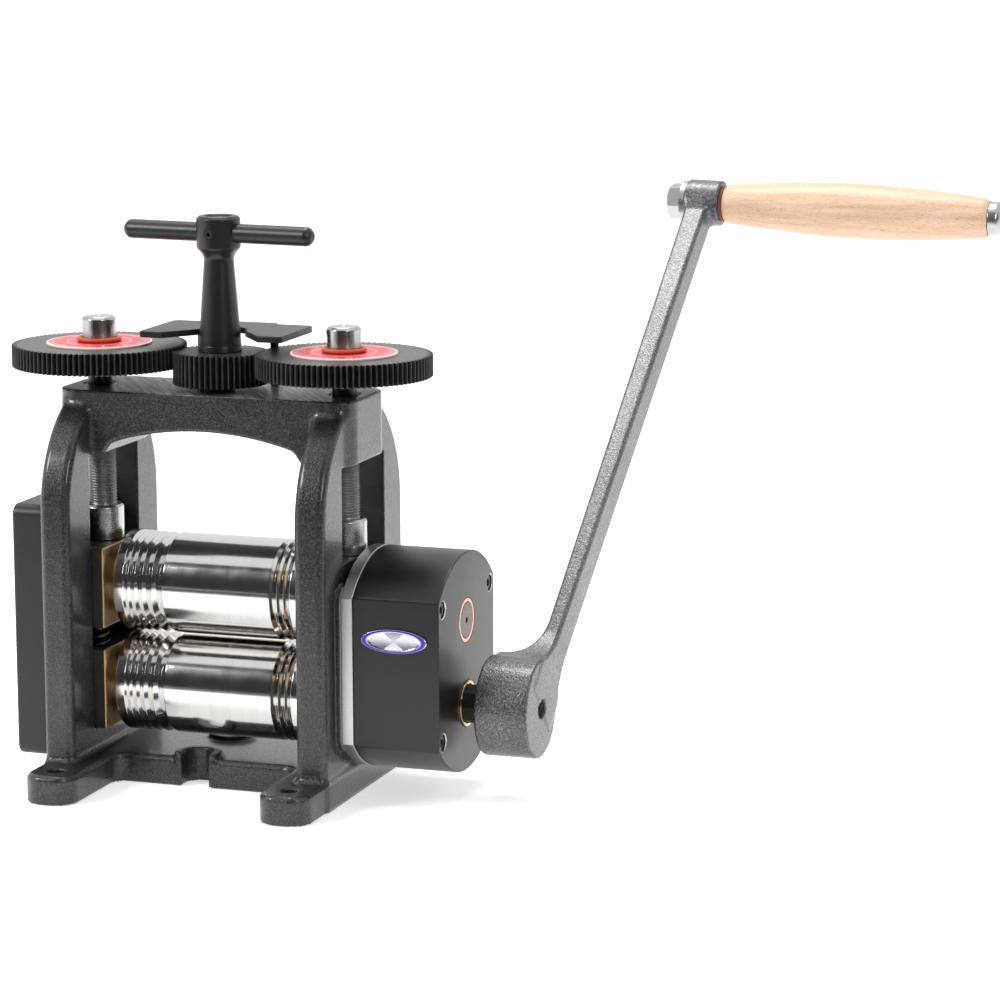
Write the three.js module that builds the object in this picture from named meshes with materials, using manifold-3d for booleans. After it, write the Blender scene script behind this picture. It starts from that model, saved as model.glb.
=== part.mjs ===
// Jewellers' rolling mill: two grooved steel rolls in a cast frame, closed by two geared
// pressure screws and driven by a hand crank through a reduction gearbox.
// Millimetres, +Z up. X runs along the rolls towards the crank, Y to the back of the bench.
// The origin is the middle of the underside of the base.

import * as THREE from 'three';
import * as BufferGeometryUtils from 'three/addons/utils/BufferGeometryUtils.js';
import Module from 'manifold-3d';

const wasm = await Module();
wasm.setup();

// Clearances
const RUNNING_FIT = 0.3;
const PRESS_FIT = 0.1;
const SEAT_GAP = 0.1;

// Rolls
const ROLL_LENGTH = 110;
const ROLL_RADIUS = 27.75;
const ROLL_GAP = 1;
const LOWER_AXIS_Z = 51.3;
const ROLL_CHAMFER = 0.8;
const COLLAR_RADIUS = 18;
const JOURNAL_RADIUS = 15;
const WIRE_BAND_START = 5.8;
const WIRE_GROOVE_FIRST = 3.3;
const WIRE_GROOVE_GROWTH = 1.19;
const WIRE_GROOVE_COUNT = 5;
const FINE_BAND_START = 5.6;
const FINE_GROOVE_FIRST = 3.5;
const FINE_GROOVE_GROWTH = 1.12;
const FINE_GROOVE_COUNT = 3;
const GROOVE_DEPTH_SHARE = 0.5;

// Bearing blocks and the springs between them
const BLOCK_INNER_X = 58.5;
const BLOCK_OUTER_X = 82;
const BLOCK_HALF_HEIGHT = 22.2;
const BLOCK_SIDE_PLAY = 0.3;
const SPRING_X = 66;
const SPRING_Y = 20;
const SPRING_COIL_RADIUS = 3.9;
const SPRING_WIRE_RADIUS = 0.85;
const SPRING_TURNS = 3.5;
const SPRING_POCKET_DEPTH = 3;

// Frame casting
const BASE_INNER_X = 53.3;
const LEG_INNER_X = 65.1;
const LEG_OUTER_X = 82.4;
const BASE_HALF_DEPTH = 91;
const BASE_HEIGHT = 16;
const BASE_CORNER = 11;
const BASE_EDGE = 2.5;
const PLATE_HALF_DEPTH = 30.3;
const PLATE_FILLET = 8;
const FOOT_HOLE_RADIUS = 4.5;
const FOOT_HOLE_INSET = 14;
const SLOT_X = -6.5;
const SLOT_RADIUS = 8;
const SLOT_DEPTH = 14.3;
const SLOT_LEDGE_WIDTH = 5.3;
const SLOT_LEDGE_RISE = 3;
const LEG_OUTER_Y = 60.7;
const WINDOW_HALF = 31.3;
const WINDOW_TOP_Z = 181.5;
const ARCH_START_Z = 152;
const ARCH_RADIUS = 67.7;
const LEG_EDGE = 4;
const BRIDGE_TOP_Z = 217;
const BRIDGE_HALF_DEPTH = 29;
const BRIDGE_HALF_LENGTH = 86;
const BRIDGE_CORNER = 12;
const BRIDGE_MID_THICKNESS = 20;
const BRIDGE_ARC_RADIUS = 178;
const END_BLOCK_INNER_X = 56;
const END_BLOCK_EDGE = 5;

// Pressure screws, their feet and the dial gears on top
const SCREW_X = 72;
const SCREW_RADIUS = 8;
const SCREW_SHANK_RADIUS = 6.75;
const SCREW_NECK_RADIUS = 5.5;
const SCREW_SPIGOT_RADIUS = 5;
const SCREW_SPIGOT_LENGTH = 8;
const SCREW_FOOT_RADIUS = 11.5;
const SCREW_FOOT_HEIGHT = 19.4;
const DIAL_MODULE = 1;
const DIAL_TEETH = 94;
const DIAL_THICKNESS = 12;
const DIAL_BOTTOM_Z = 227;
const DIAL_BACKLASH = 0.25;
const DIAL_ROOT_DEPTH = 2.6;
const LABEL_RADIUS = 29;
const LABEL_THICKNESS = 1;
const CAP_RADIUS = 9.45;
const CAP_HEIGHT = 13.8;
const CAP_CHAMFER = 1.4;
const CAP_BORE_DEPTH = 8;
const ORING_SECTION_RADIUS = 1.25;

// Tee handle and its pinion
const PINION_TEETH = 50;
const PINION_BOTTOM_Z = 219.8;
const PINION_HEIGHT = 17.7;
const SPINDLE_RADIUS = 7.7;
const SPINDLE_DEPTH = 13.6;
const STEM_FOOT_RADIUS = 11.9;
const STEM_NECK_RADIUS = 7.95;
const STEM_TOP_Z = 311.3;
const STEM_HEAD_RADIUS = 12;
const STEM_HEAD_LENGTH = 17.3;
const STEM_NECK_LENGTH = 4.6;
const STEM_TOP_RECESS_RADIUS = 8;
const STEM_TOP_RECESS = 1.5;
const TEE_BAR_RADIUS = 5.25;
const TEE_BAR_LENGTH = 115;
const TEE_BAR_DROP = 9.3;
const TEE_BAR_TURN_DEG = -5.8;
const GRUB_RADIUS = 2.5;

// Index plate over the dial gears
const INDEX_PLATE_Z = 245.2;
const INDEX_PLATE_THICKNESS = 3.5;
const INDEX_HALF_LENGTH = 41.5;
const INDEX_FRONT_Y = -15;
const INDEX_BACK_Y = 34;
const INDEX_TAIL_HALF = 19;
const INDEX_TAIL_Y = 38.5;
const INDEX_MOUTH_HALF = 28;
const INDEX_SLOT_RADIUS = 13;
const INDEX_SLOT_Y = 4;
const INDEX_POST_X = 21.5;
const INDEX_POST_Y = 25;
const INDEX_POST_RADIUS = 2.45;
const INDEX_POST_DEPTH = 8;
const INDEX_SPIGOT_RADIUS = 1.6;

// Reduction gearbox on the crank side
const BACKPLATE_X = 85.8;
const BACKPLATE_THICKNESS = 6.6;
const HOUSING_LENGTH = 48.6;
const HOUSING_END_WALL = 8;
const HOUSING_RADIUS = 60.2;
const HOUSING_CENTRE_Z = 74.7;
const HOUSING_HALF_WIDTH = 45.2;
const TRAIN_MODULE = 2;
const TRAIN_BACKLASH = 0.35;
const CRANK_PINION_TEETH = 15;
const COUNTER_GEAR_TEETH = 31;
const COUNTER_PINION_TEETH = 16;
const OUTPUT_GEAR_TEETH = 30;
const TRAIN_RIM_CLEARANCE = 1.2;
const OUTPUT_GEAR_WIDTH = 16;
const COUNTER_GEAR_WIDTH = 14;
const TRAIN_SPACING = 3;
const GEAR_SEAT_RADIUS = 11;
const OUTPUT_SHAFT_RADIUS = 12;
const PILOT_RADIUS = 6;
const PILOT_LENGTH = 12;
const CRANK_SHAFT_RADIUS = 10.5;
const CRANK_BUSH_RADIUS = 12.5;
const CRANK_BUSH_PROUD = 1;
const COUNTER_END_RADIUS = 9.75;
const COUNTER_BUSH_RADIUS = 12;
const COUNTER_TAIL_RADIUS = 7;
const COUNTER_TAIL_BUSH_RADIUS = 10;
const COUNTER_CENTRE_RADIUS = 1.6;
const PAD_INNER_Y = 33;
const PAD_HALF_HEIGHT = 45;
const GEARBOX_SCREW_Y = 38.4;
const GEARBOX_SCREW_REACH_UP = 35.7;
const GEARBOX_SCREW_REACH_DOWN = 36.4;
const GEARBOX_SCREW_IN_LEG = 12;
const BADGE_LENGTH = 37.3;
const BADGE_HEIGHT = 13;
const BADGE_THICKNESS = 1.2;
const BADGE_X = 116.1;
const BADGE_Z = 93.3;

// Cap screws of the gearbox and the cover
const CAP_SCREW_RADIUS = 2.5;
const CAP_SCREW_HEAD_RADIUS = 4.25;
const CAP_SCREW_HEAD_HEIGHT = 5;
const CAP_SCREW_RECESS = 1;
const CAP_SCREW_SOCKET_RADIUS = 2.3;
const CAP_SCREW_SOCKET_DEPTH = 2.5;

// Cover over the roll gears
const COVER_LENGTH = 23.3;
const COVER_HALF_WIDTH = 45;
const COVER_BOTTOM_Z = 14.4;
const COVER_TOP_Z = 154.5;
const COVER_WALL = 2.8;
const COVER_CORNER = 6;
const COVER_EDGE = 1.5;
const COVER_SCREW_INSET_Y = 7;
const COVER_SCREW_INSET_Z = 9.5;
const COVER_BOSS_RADIUS = 6;
const COVER_SCREW_IN_LEG = 12;

// Roll gears behind the cover, long toothed so they stay in mesh as the rolls open
const ROLL_GEAR_TEETH = 14;
const ROLL_GEAR_MODULE = 4;
const ROLL_GEAR_TIP_RADIUS = 32.2;
const ROLL_GEAR_ROOT_RADIUS = 22.6;
const ROLL_GEAR_BACKLASH = 1.3;
const ROLL_GEAR_WIDTH = 14;
const JOURNAL_PROUD = 1.3;
const END_SCREW_RADIUS = 4;
const END_SCREW_HEAD_RADIUS = 14;
const END_SCREW_HEAD_HEIGHT = 2.6;
const END_SCREW_LENGTH = 14;

// Crank arm and handle
const CRANK_LEAN_DEG = 49.9;
const CRANK_SPLAY_DEG = 2.05;
const CRANK_REACH = 380;
const HUB_GAP_X = 12.5;
const HUB_LENGTH = 29.9;
const HUB_RADIUS = 27;
const HUB_CHAMFER = 1.5;
const HUB_STUB_RADIUS = 9;
const HUB_STUB_LENGTH = 18.5;
const HUB_BOLT_RADIUS = 3;
const HUB_BOLT_HOLE_RADIUS = 5.25;
const HUB_BOLT_WEB = 4;
const HUB_BOLT_HEAD_HEIGHT = 3;
const HUB_BOLT_LENGTH = 14;
const ARM_ROOT_WIDTH = 20.8;
const ARM_TOP_WIDTH = 17.2;
const ARM_ROOT_THICKNESS = 9.2;
const ARM_TOP_THICKNESS = 13.7;
const ARM_ROOT_FILLET_X = 19.5;
const ARM_ROOT_FILLET_U = 30;
const ARM_ROOT_STEPS = 5;
const BOSS_RADIUS = 13.5;
const BOSS_LENGTH = 20.8;
const BOSS_PROUD = 5.8;
const ROD_RADIUS = 5;
const NUT_ACROSS_FLATS = 19;
const NUT_HEIGHT = 8.6;
const WASHER_RADIUS = 12.5;
const WASHER_THICKNESS = 3;
const FIBRE_RADIUS = 10.5;
const FIBRE_THICKNESS = 1.6;
const GRIP_LENGTH = 160.5;
const GRIP_RADII = [11.5, 13.6, 15.3, 16.2, 16.3, 15.6, 13.9, 11.5];
const ROD_HEAD_RADIUS = 10.15;
const ROD_HEAD_RIM = 4;
const ROD_HEAD_DOME = 5;
const ROD_TAIL = 1.2;

// Places worked out from the sizes above
const UPPER_AXIS_Z = LOWER_AXIS_Z + 2 * ROLL_RADIUS + ROLL_GAP;
const BLOCK_HALF_DEPTH = WINDOW_HALF - BLOCK_SIDE_PLAY;
const WINDOW_SILL_Z = LOWER_AXIS_Z - BLOCK_HALF_HEIGHT - SEAT_GAP;
const FOOT_BOTTOM_Z = UPPER_AXIS_Z + BLOCK_HALF_HEIGHT + SEAT_GAP;
const FOOT_TOP_Z = FOOT_BOTTOM_Z + SCREW_FOOT_HEIGHT;
const DIAL_TOP_Z = DIAL_BOTTOM_Z + DIAL_THICKNESS;
const LABEL_BOTTOM_Z = DIAL_TOP_Z + SEAT_GAP;
const CAP_BOTTOM_Z = LABEL_BOTTOM_Z + LABEL_THICKNESS + SEAT_GAP;
const PINION_TOP_Z = PINION_BOTTOM_Z + PINION_HEIGHT;
const STEM_HEAD_Z = STEM_TOP_Z - STEM_HEAD_LENGTH;
const STEM_NECK_Z = STEM_HEAD_Z - STEM_NECK_LENGTH;
const TEE_BAR_Z = STEM_TOP_Z - TEE_BAR_DROP;
const HOUSING_START_X = BACKPLATE_X + BACKPLATE_THICKNESS + SEAT_GAP;
const HOUSING_END_X = HOUSING_START_X + HOUSING_LENGTH;
const HOUSING_WALL_X = HOUSING_END_X - HOUSING_END_WALL;
const TRAIN_CENTRES = TRAIN_MODULE * (CRANK_PINION_TEETH + COUNTER_GEAR_TEETH) / 2;
const COUNTER_AXIS_Z = LOWER_AXIS_Z + TRAIN_CENTRES;
const OUTPUT_GEAR_X = HOUSING_START_X + TRAIN_SPACING - RUNNING_FIT;
const OUTPUT_GEAR_END_X = OUTPUT_GEAR_X + OUTPUT_GEAR_WIDTH;
const LOWER_ROLL_END_X = OUTPUT_GEAR_END_X + RUNNING_FIT;
const CRANK_PINION_X = OUTPUT_GEAR_END_X + TRAIN_SPACING;
const COUNTER_GEAR_X = CRANK_PINION_X + 1;
const COUNTER_GEAR_END_X = COUNTER_GEAR_X + COUNTER_GEAR_WIDTH;
const CRANK_PINION_END_X = COUNTER_GEAR_END_X + 1;
const JOURNAL_END_X = LEG_OUTER_X + JOURNAL_PROUD;
const ROLL_GEAR_X = -JOURNAL_END_X - SEAT_GAP;
const ROLL_GEAR_END_X = ROLL_GEAR_X - ROLL_GEAR_WIDTH;
const COVER_START_X = -LEG_OUTER_X - RUNNING_FIT;
const COVER_END_X = COVER_START_X - COVER_LENGTH;
const HUB_START_X = HOUSING_END_X + HUB_GAP_X;
const HUB_END_X = HUB_START_X + HUB_LENGTH;
const SPLAY = THREE.MathUtils.degToRad(CRANK_SPLAY_DEG);

// Facet counts
const HIDDEN_ROUND = 8;
const SMALL_ROUND = 9;
const MEDIUM_ROUND = 16;
const LARGE_ROUND = 20;

// Finishes, by name
const FINISHES = {
  hammertone: { color: 0x3a3a3c, roughness: 0.42, metalness: 0.55 },
  silverHammertone: { color: 0x8d8c8e, roughness: 0.38, metalness: 0.7 },
  blackPaint: { color: 0x19191b, roughness: 0.32, metalness: 0.3 },
  blackOxide: { color: 0x17171a, roughness: 0.28, metalness: 0.75 },
  polishedSteel: { color: 0xc9c6c2, roughness: 0.16, metalness: 1 },
  brushedSteel: { color: 0x9c9a98, roughness: 0.34, metalness: 1 },
  zincPlate: { color: 0xb3b2ac, roughness: 0.36, metalness: 1 },
  aluminium: { color: 0xbfc0c2, roughness: 0.4, metalness: 1 },
  bronze: { color: 0xb08d57, roughness: 0.38, metalness: 1 },
  copper: { color: 0xb87c66, roughness: 0.4, metalness: 1 },
  springSteel: { color: 0x2a2a2c, roughness: 0.4, metalness: 0.9 },
  redLabel: { color: 0xb4424c, roughness: 0.2, metalness: 0.1 },
  redRubber: { color: 0xc4502e, roughness: 0.6, metalness: 0 },
  redFibre: { color: 0x8c5544, roughness: 0.8, metalness: 0 },
  chrome: { color: 0xd5d6dc, roughness: 0.1, metalness: 1 },
  beech: { color: 0xd9b78c, roughness: 0.5, metalness: 0 },
};

// A manifold solid from a three.js geometry: corners merged, faces pointing out.
function toSolid(geometry) {
  const bare = new THREE.BufferGeometry();
  bare.setAttribute('position', geometry.getAttribute('position'));
  if (geometry.index) bare.setIndex(geometry.index);
  const merged = BufferGeometryUtils.mergeVertices(bare, 1e-4);
  const place = merged.getAttribute('position');
  const corners = Array.from(merged.index.array);
  const faces = [];
  let volume = 0;
  const a = new THREE.Vector3();
  const b = new THREE.Vector3();
  const c = new THREE.Vector3();
  for (let i = 0; i < corners.length; i += 3) {
    const [p, q, r] = corners.slice(i, i + 3);
    if (p === q || q === r || r === p) continue;
    a.fromBufferAttribute(place, p);
    b.fromBufferAttribute(place, q);
    c.fromBufferAttribute(place, r);
    volume += a.dot(b.cross(c));
    faces.push([p, q, r]);
  }
  if (volume < 0) faces.forEach((face) => face.reverse());
  return new wasm.Manifold(new wasm.Mesh({
    numProp: 3,
    vertProperties: new Float32Array(place.array),
    triVerts: new Uint32Array(faces.flat()),
  }));
}

// The three.js geometry of a manifold solid.
function toGeometry(body) {
  const mesh = body.getMesh();
  const geometry = new THREE.BufferGeometry();
  geometry.setAttribute('position', new THREE.BufferAttribute(mesh.vertProperties, 3));
  geometry.setIndex(new THREE.BufferAttribute(mesh.triVerts, 1));
  return geometry;
}

function join(first, ...others) {
  return toGeometry(others.reduce((body, other) => body.add(toSolid(other)), toSolid(first)));
}

function cut(first, ...tools) {
  return toGeometry(tools.reduce((body, tool) => body.subtract(toSolid(tool)), toSolid(first)));
}

function common(first, second) {
  return toGeometry(toSolid(first).intersect(toSolid(second)));
}

// A turned solid about an axis through `at`; the profile is [along, radius] pairs that are
// closed to the axis, or to themselves for a ring.
function turned(profile, { axis = 'z', at = [0, 0, 0], round = MEDIUM_ROUND, ring = false } = {}) {
  const points = profile.map(([along, radius]) => new THREE.Vector2(radius, along));
  if (ring) points.push(points[0].clone());
  if (!ring && profile[0][1] > 0) points.unshift(new THREE.Vector2(0, profile[0][0]));
  if (!ring && profile.at(-1)[1] > 0) points.push(new THREE.Vector2(0, profile.at(-1)[0]));
  const geometry = new THREE.LatheGeometry(points, round);
  if (axis === 'x') geometry.rotateZ(-Math.PI / 2);
  if (axis === 'z') geometry.rotateX(Math.PI / 2);
  return geometry.translate(...at);
}

function rod(from, to, radius, place = {}) {
  return turned([[from, radius], [to, radius]], place);
}

// A drilling tool whose flats, not its corners, lie on the radius.
function drill(from, to, radius, place = {}) {
  const round = place.round ?? MEDIUM_ROUND;
  return rod(from, to, radius / Math.cos(Math.PI / round), place);
}

// A bush or washer, its bore with its flats on the inner radius.
function sleeve(from, to, outer, inner, place = {}) {
  const bore = inner / Math.cos(Math.PI / (place.round ?? MEDIUM_ROUND));
  return turned([[from, bore], [to, bore], [to, outer], [from, outer]], { ...place, ring: true });
}

function block(x0, x1, y0, y1, z0, z1) {
  return new THREE.BoxGeometry(x1 - x0, y1 - y0, z1 - z0)
    .translate((x0 + x1) / 2, (y0 + y1) / 2, (z0 + z1) / 2);
}

// A straight extrusion. Along x the outline is in (Y, Z), along y in (X, Z), along z in (X, Y).
function prism(shape, axis, from, to, bevel = 0, bevelSteps = 2) {
  const geometry = new THREE.ExtrudeGeometry(shape, {
    depth: to - from - 2 * bevel,
    bevelEnabled: bevel > 0,
    bevelThickness: bevel,
    bevelSize: bevel,
    bevelOffset: -bevel,
    bevelSegments: bevelSteps,
  }).translate(0, 0, bevel);
  if (axis === 'z') return geometry.translate(0, 0, from);
  if (axis === 'y') return geometry.rotateX(Math.PI / 2).translate(0, to, 0);
  const turn = new THREE.Matrix4().makeBasis(
    new THREE.Vector3(0, 1, 0),
    new THREE.Vector3(0, 0, 1),
    new THREE.Vector3(1, 0, 0),
  );
  return geometry.applyMatrix4(turn).translate(from, 0, 0);
}

function arc(centreX, centreY, radius, from, to, steps) {
  return Array.from({ length: steps + 1 }, (_, i) => {
    const angle = from + (to - from) * i / steps;
    return [centreX + radius * Math.cos(angle), centreY + radius * Math.sin(angle)];
  });
}

function outline(points) {
  return new THREE.Shape(points.map(([x, y]) => new THREE.Vector2(x, y)));
}

// The points of a polygon whose corners are [x, y, radius]; a radius rounds that corner.
function rounded(corners, steps = 4) {
  return corners.flatMap(([x, y, radius = 0], i) => {
    if (radius === 0) return [[x, y]];
    const here = new THREE.Vector2(x, y);
    const back = new THREE.Vector2(...corners.at(i - 1)).sub(here).normalize();
    const ahead = new THREE.Vector2(...corners[(i + 1) % corners.length]).sub(here).normalize();
    const half = Math.acos(THREE.MathUtils.clamp(back.dot(ahead), -1, 1)) / 2;
    const centre = back.clone().add(ahead).normalize()
      .multiplyScalar(radius / Math.sin(half)).add(here);
    const start = back.multiplyScalar(radius / Math.tan(half)).add(here).sub(centre);
    const end = ahead.multiplyScalar(radius / Math.tan(half)).add(here).sub(centre);
    const sweep = Math.atan2(start.cross(end), start.dot(end));
    return arc(centre.x, centre.y, radius, start.angle(), start.angle() + sweep, steps);
  });
}

function rectangle(x0, y0, x1, y1, radius = 0) {
  return rounded([[x1, y0, radius], [x1, y1, radius], [x0, y1, radius], [x0, y0, radius]]);
}

// A spur gear's outline: involute half widths at the root, between and at the tip of each tooth.
// A sharp root is one point in the middle of each space, for small teeth.
function gearOutline({
  teeth, module, backlash, phase, tip, root, stations = [], sharpRoot = false,
}) {
  const pitch = teeth * module / 2;
  const pressure = THREE.MathUtils.degToRad(20);
  const base = pitch * Math.cos(pressure);
  const involute = (angle) => Math.tan(angle) - angle;
  const halfWidth = (radius) => {
    const contact = radius > base ? Math.acos(base / radius) : 0;
    const atPitch = (Math.PI * module / 2 - backlash) / (2 * pitch);
    return atPitch + involute(pressure) - involute(contact);
  };
  const radii = sharpRoot ? [...stations, tip] : [root, ...stations, tip];
  const flank = radii.map((radius) => [radius, halfWidth(radius)]);
  const points = [];
  for (let i = 0; i < teeth; i += 1) {
    const middle = phase + 2 * Math.PI * i / teeth;
    if (sharpRoot) points.push([root, middle - Math.PI / teeth]);
    flank.forEach(([radius, half]) => points.push([radius, middle - half]));
    flank.toReversed().forEach(([radius, half]) => points.push([radius, middle + half]));
  }
  return points.map(([radius, angle]) => [radius * Math.cos(angle), radius * Math.sin(angle)]);
}

// A gear of standard tooth height with a plain bore.
function spurGear({ axis, from, to, at, bore, tip, root, ...gear }) {
  const pitch = gear.teeth * gear.module / 2;
  const shape = outline(gearOutline({
    ...gear,
    tip: tip ?? pitch + gear.module,
    root: root ?? pitch - 1.25 * gear.module,
  }));
  if (bore) {
    const hole = bore / Math.cos(Math.PI / SMALL_ROUND);
    const points = arc(0, 0, hole, 0, 2 * Math.PI, SMALL_ROUND).slice(0, -1);
    shape.holes.push(new THREE.Path(points.map(([x, y]) => new THREE.Vector2(x, y))));
  }
  return prism(shape, axis, from, to).translate(...at);
}

// A socket head cap screw along x; the head's outer face is at `face` and points along `side`.
function capScrew(face, tip, side, y, z) {
  const under = face - side * CAP_SCREW_HEAD_HEIGHT;
  const place = { axis: 'x', at: [0, y, z], round: SMALL_ROUND };
  const body = turned([
    [tip, CAP_SCREW_RADIUS],
    [under, CAP_SCREW_RADIUS],
    [under, CAP_SCREW_HEAD_RADIUS],
    [face, CAP_SCREW_HEAD_RADIUS],
  ], place);
  const bottom = face - side * CAP_SCREW_SOCKET_DEPTH;
  return cut(body, rod(bottom, face + side, CAP_SCREW_SOCKET_RADIUS, { ...place, round: 6 }));
}

// The clearance hole and head recess that a cap screw needs.
function capScrewHole(face, tip, side, y, z) {
  const place = { axis: 'x', at: [0, y, z], round: SMALL_ROUND };
  const under = face - side * (CAP_SCREW_HEAD_HEIGHT + SEAT_GAP);
  return join(
    drill(tip - side * RUNNING_FIT, face, CAP_SCREW_RADIUS + RUNNING_FIT,
      { ...place, round: HIDDEN_ROUND }),
    drill(under, face + side * (CAP_SCREW_RECESS + 1), CAP_SCREW_HEAD_RADIUS + RUNNING_FIT, place),
  );
}

// The places of the four gearbox screws and of the four cover screws, as [y, z].
const GEARBOX_SCREWS = [1, -1].flatMap((side) => [
  [side * GEARBOX_SCREW_Y, HOUSING_CENTRE_Z + GEARBOX_SCREW_REACH_UP],
  [side * GEARBOX_SCREW_Y, HOUSING_CENTRE_Z - GEARBOX_SCREW_REACH_DOWN],
]);
const COVER_SCREWS = [1, -1].flatMap((side) => [
  [side * (COVER_HALF_WIDTH - COVER_SCREW_INSET_Y), COVER_TOP_Z - COVER_SCREW_INSET_Z],
  [side * (COVER_HALF_WIDTH - COVER_SCREW_INSET_Y), COVER_BOTTOM_Z + COVER_SCREW_INSET_Z],
]);
const GEARBOX_SCREW_FACE = HOUSING_END_X - CAP_SCREW_RECESS;
const GEARBOX_SCREW_TIP = LEG_OUTER_X - GEARBOX_SCREW_IN_LEG;
const COVER_SCREW_FACE = COVER_END_X + CAP_SCREW_RECESS;
const COVER_SCREW_TIP = -LEG_OUTER_X + COVER_SCREW_IN_LEG;

// The gearbox outline in (Y, Z): a circle cut flat at both sides.
function gearboxOutline() {
  const corner = Math.acos(HOUSING_HALF_WIDTH / HOUSING_RADIUS);
  return outline([
    ...arc(0, HOUSING_CENTRE_Z, HOUSING_RADIUS, corner, Math.PI - corner, 10),
    ...arc(0, HOUSING_CENTRE_Z, HOUSING_RADIUS, Math.PI + corner, 2 * Math.PI - corner, 10),
  ]);
}

// The H shaped foot of the casting, with a bolt slot at the middle of each long side.
function castFoot() {
  const plan = rounded([
    [LEG_OUTER_X, -BASE_HALF_DEPTH, BASE_CORNER],
    [LEG_OUTER_X, BASE_HALF_DEPTH, BASE_CORNER],
    [BASE_INNER_X, BASE_HALF_DEPTH, BASE_CORNER],
    [BASE_INNER_X, PLATE_HALF_DEPTH, PLATE_FILLET],
    [-BASE_INNER_X, PLATE_HALF_DEPTH, PLATE_FILLET],
    [-BASE_INNER_X, BASE_HALF_DEPTH, BASE_CORNER],
    [-LEG_OUTER_X, BASE_HALF_DEPTH, BASE_CORNER],
    [-LEG_OUTER_X, -BASE_HALF_DEPTH, BASE_CORNER],
    [-BASE_INNER_X, -BASE_HALF_DEPTH, BASE_CORNER],
    [-BASE_INNER_X, -PLATE_HALF_DEPTH, PLATE_FILLET],
    [BASE_INNER_X, -PLATE_HALF_DEPTH, PLATE_FILLET],
    [BASE_INNER_X, -BASE_HALF_DEPTH, BASE_CORNER],
  ], 3);
  const slab = prism(outline(plan), 'z', -2 * BASE_EDGE, BASE_HEIGHT, BASE_EDGE, 1);
  const below = block(-2 * LEG_OUTER_X, 2 * LEG_OUTER_X, -2 * BASE_HALF_DEPTH,
    2 * BASE_HALF_DEPTH, -3 * BASE_EDGE, 0);
  const slotY = PLATE_HALF_DEPTH - SLOT_DEPTH + SLOT_RADIUS;
  const ledgeRadius = SLOT_RADIUS + SLOT_LEDGE_WIDTH;
  const ledges = common(
    join(...[1, -1].map((side) => rod(0, BASE_HEIGHT + SLOT_LEDGE_RISE, ledgeRadius,
      { at: [SLOT_X, side * slotY, 0] }))),
    block(-LEG_OUTER_X, LEG_OUTER_X, -PLATE_HALF_DEPTH, PLATE_HALF_DEPTH, 0, 2 * BASE_HEIGHT),
  );
  const slots = [1, -1].map((side) => {
    const inner = side * slotY;
    const outer = side * (PLATE_HALF_DEPTH + 2);
    return join(
      rod(-1, 2 * BASE_HEIGHT, SLOT_RADIUS, { at: [SLOT_X, inner, 0] }),
      block(SLOT_X - SLOT_RADIUS, SLOT_X + SLOT_RADIUS, Math.min(inner, outer),
        Math.max(inner, outer), -1, 2 * BASE_HEIGHT),
    );
  });
  const holeX = (BASE_INNER_X + LEG_OUTER_X) / 2;
  const holeY = BASE_HALF_DEPTH - FOOT_HOLE_INSET;
  const holes = [[1, 1], [1, -1], [-1, 1], [-1, -1]].map(([sideX, sideY]) => drill(
    -1, BASE_HEIGHT + 1, FOOT_HOLE_RADIUS,
    { at: [sideX * holeX, sideY * holeY, 0], round: SMALL_ROUND },
  ));
  return cut(join(cut(slab, below), ledges), ...slots, ...holes);
}

// One side of the casting: two legs that arch together over the window of the bearing blocks.
function castSide(side) {
  const archCentreY = LEG_OUTER_Y - ARCH_RADIUS;
  const archEnd = Math.acos((BRIDGE_HALF_DEPTH - archCentreY) / ARCH_RADIUS);
  const right = [
    ...arc(archCentreY, ARCH_START_Z, ARCH_RADIUS, 0, archEnd, 6),
    [BRIDGE_HALF_DEPTH, BRIDGE_TOP_Z - 1],
  ];
  const left = right.map(([y, z]) => [-y, z]).reverse();
  const shape = outline([[LEG_OUTER_Y, 1], ...right, ...left, [-LEG_OUTER_Y, 1]]);
  const from = side > 0 ? LEG_INNER_X : -LEG_OUTER_X;
  const width = LEG_OUTER_X - LEG_INNER_X;
  const plate = prism(shape, 'x', from, from + width, LEG_EDGE, 1);
  const window = block(from - 1, from + width + 1, -WINDOW_HALF, WINDOW_HALF,
    WINDOW_SILL_Z, WINDOW_TOP_Z);
  return cut(plate, window);
}

// The bridge over the rolls, arched below, with the end blocks that the pressure screws cross.
function castBridge() {
  const archCentreZ = BRIDGE_TOP_Z - BRIDGE_MID_THICKNESS - BRIDGE_ARC_RADIUS;
  const spread = Math.asin(END_BLOCK_INNER_X / BRIDGE_ARC_RADIUS);
  const up = Math.PI / 2;
  const underside = arc(0, archCentreZ, BRIDGE_ARC_RADIUS, up + spread, up - spread, 8);
  const end = BRIDGE_HALF_LENGTH;
  const elevation = outline([
    ...rounded([
      [end, BRIDGE_TOP_Z],
      [-end, BRIDGE_TOP_Z],
      [-end, WINDOW_TOP_Z, END_BLOCK_EDGE],
      [-END_BLOCK_INNER_X, WINDOW_TOP_Z, END_BLOCK_EDGE],
      underside[0],
    ], 3),
    ...underside.slice(1, -1),
    ...rounded([
      underside.at(-1),
      [END_BLOCK_INNER_X, WINDOW_TOP_Z, END_BLOCK_EDGE],
      [end, WINDOW_TOP_Z, END_BLOCK_EDGE],
      [end, BRIDGE_TOP_Z],
    ], 3).slice(0, -1),
  ]);
  const depth = BRIDGE_HALF_DEPTH;
  const plan = outline(rectangle(-end, -depth, end, depth, BRIDGE_CORNER));
  return common(
    prism(elevation, 'y', -depth - 1, depth + 1),
    prism(plan, 'z', WINDOW_TOP_Z - 1, BRIDGE_TOP_Z),
  );
}

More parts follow.
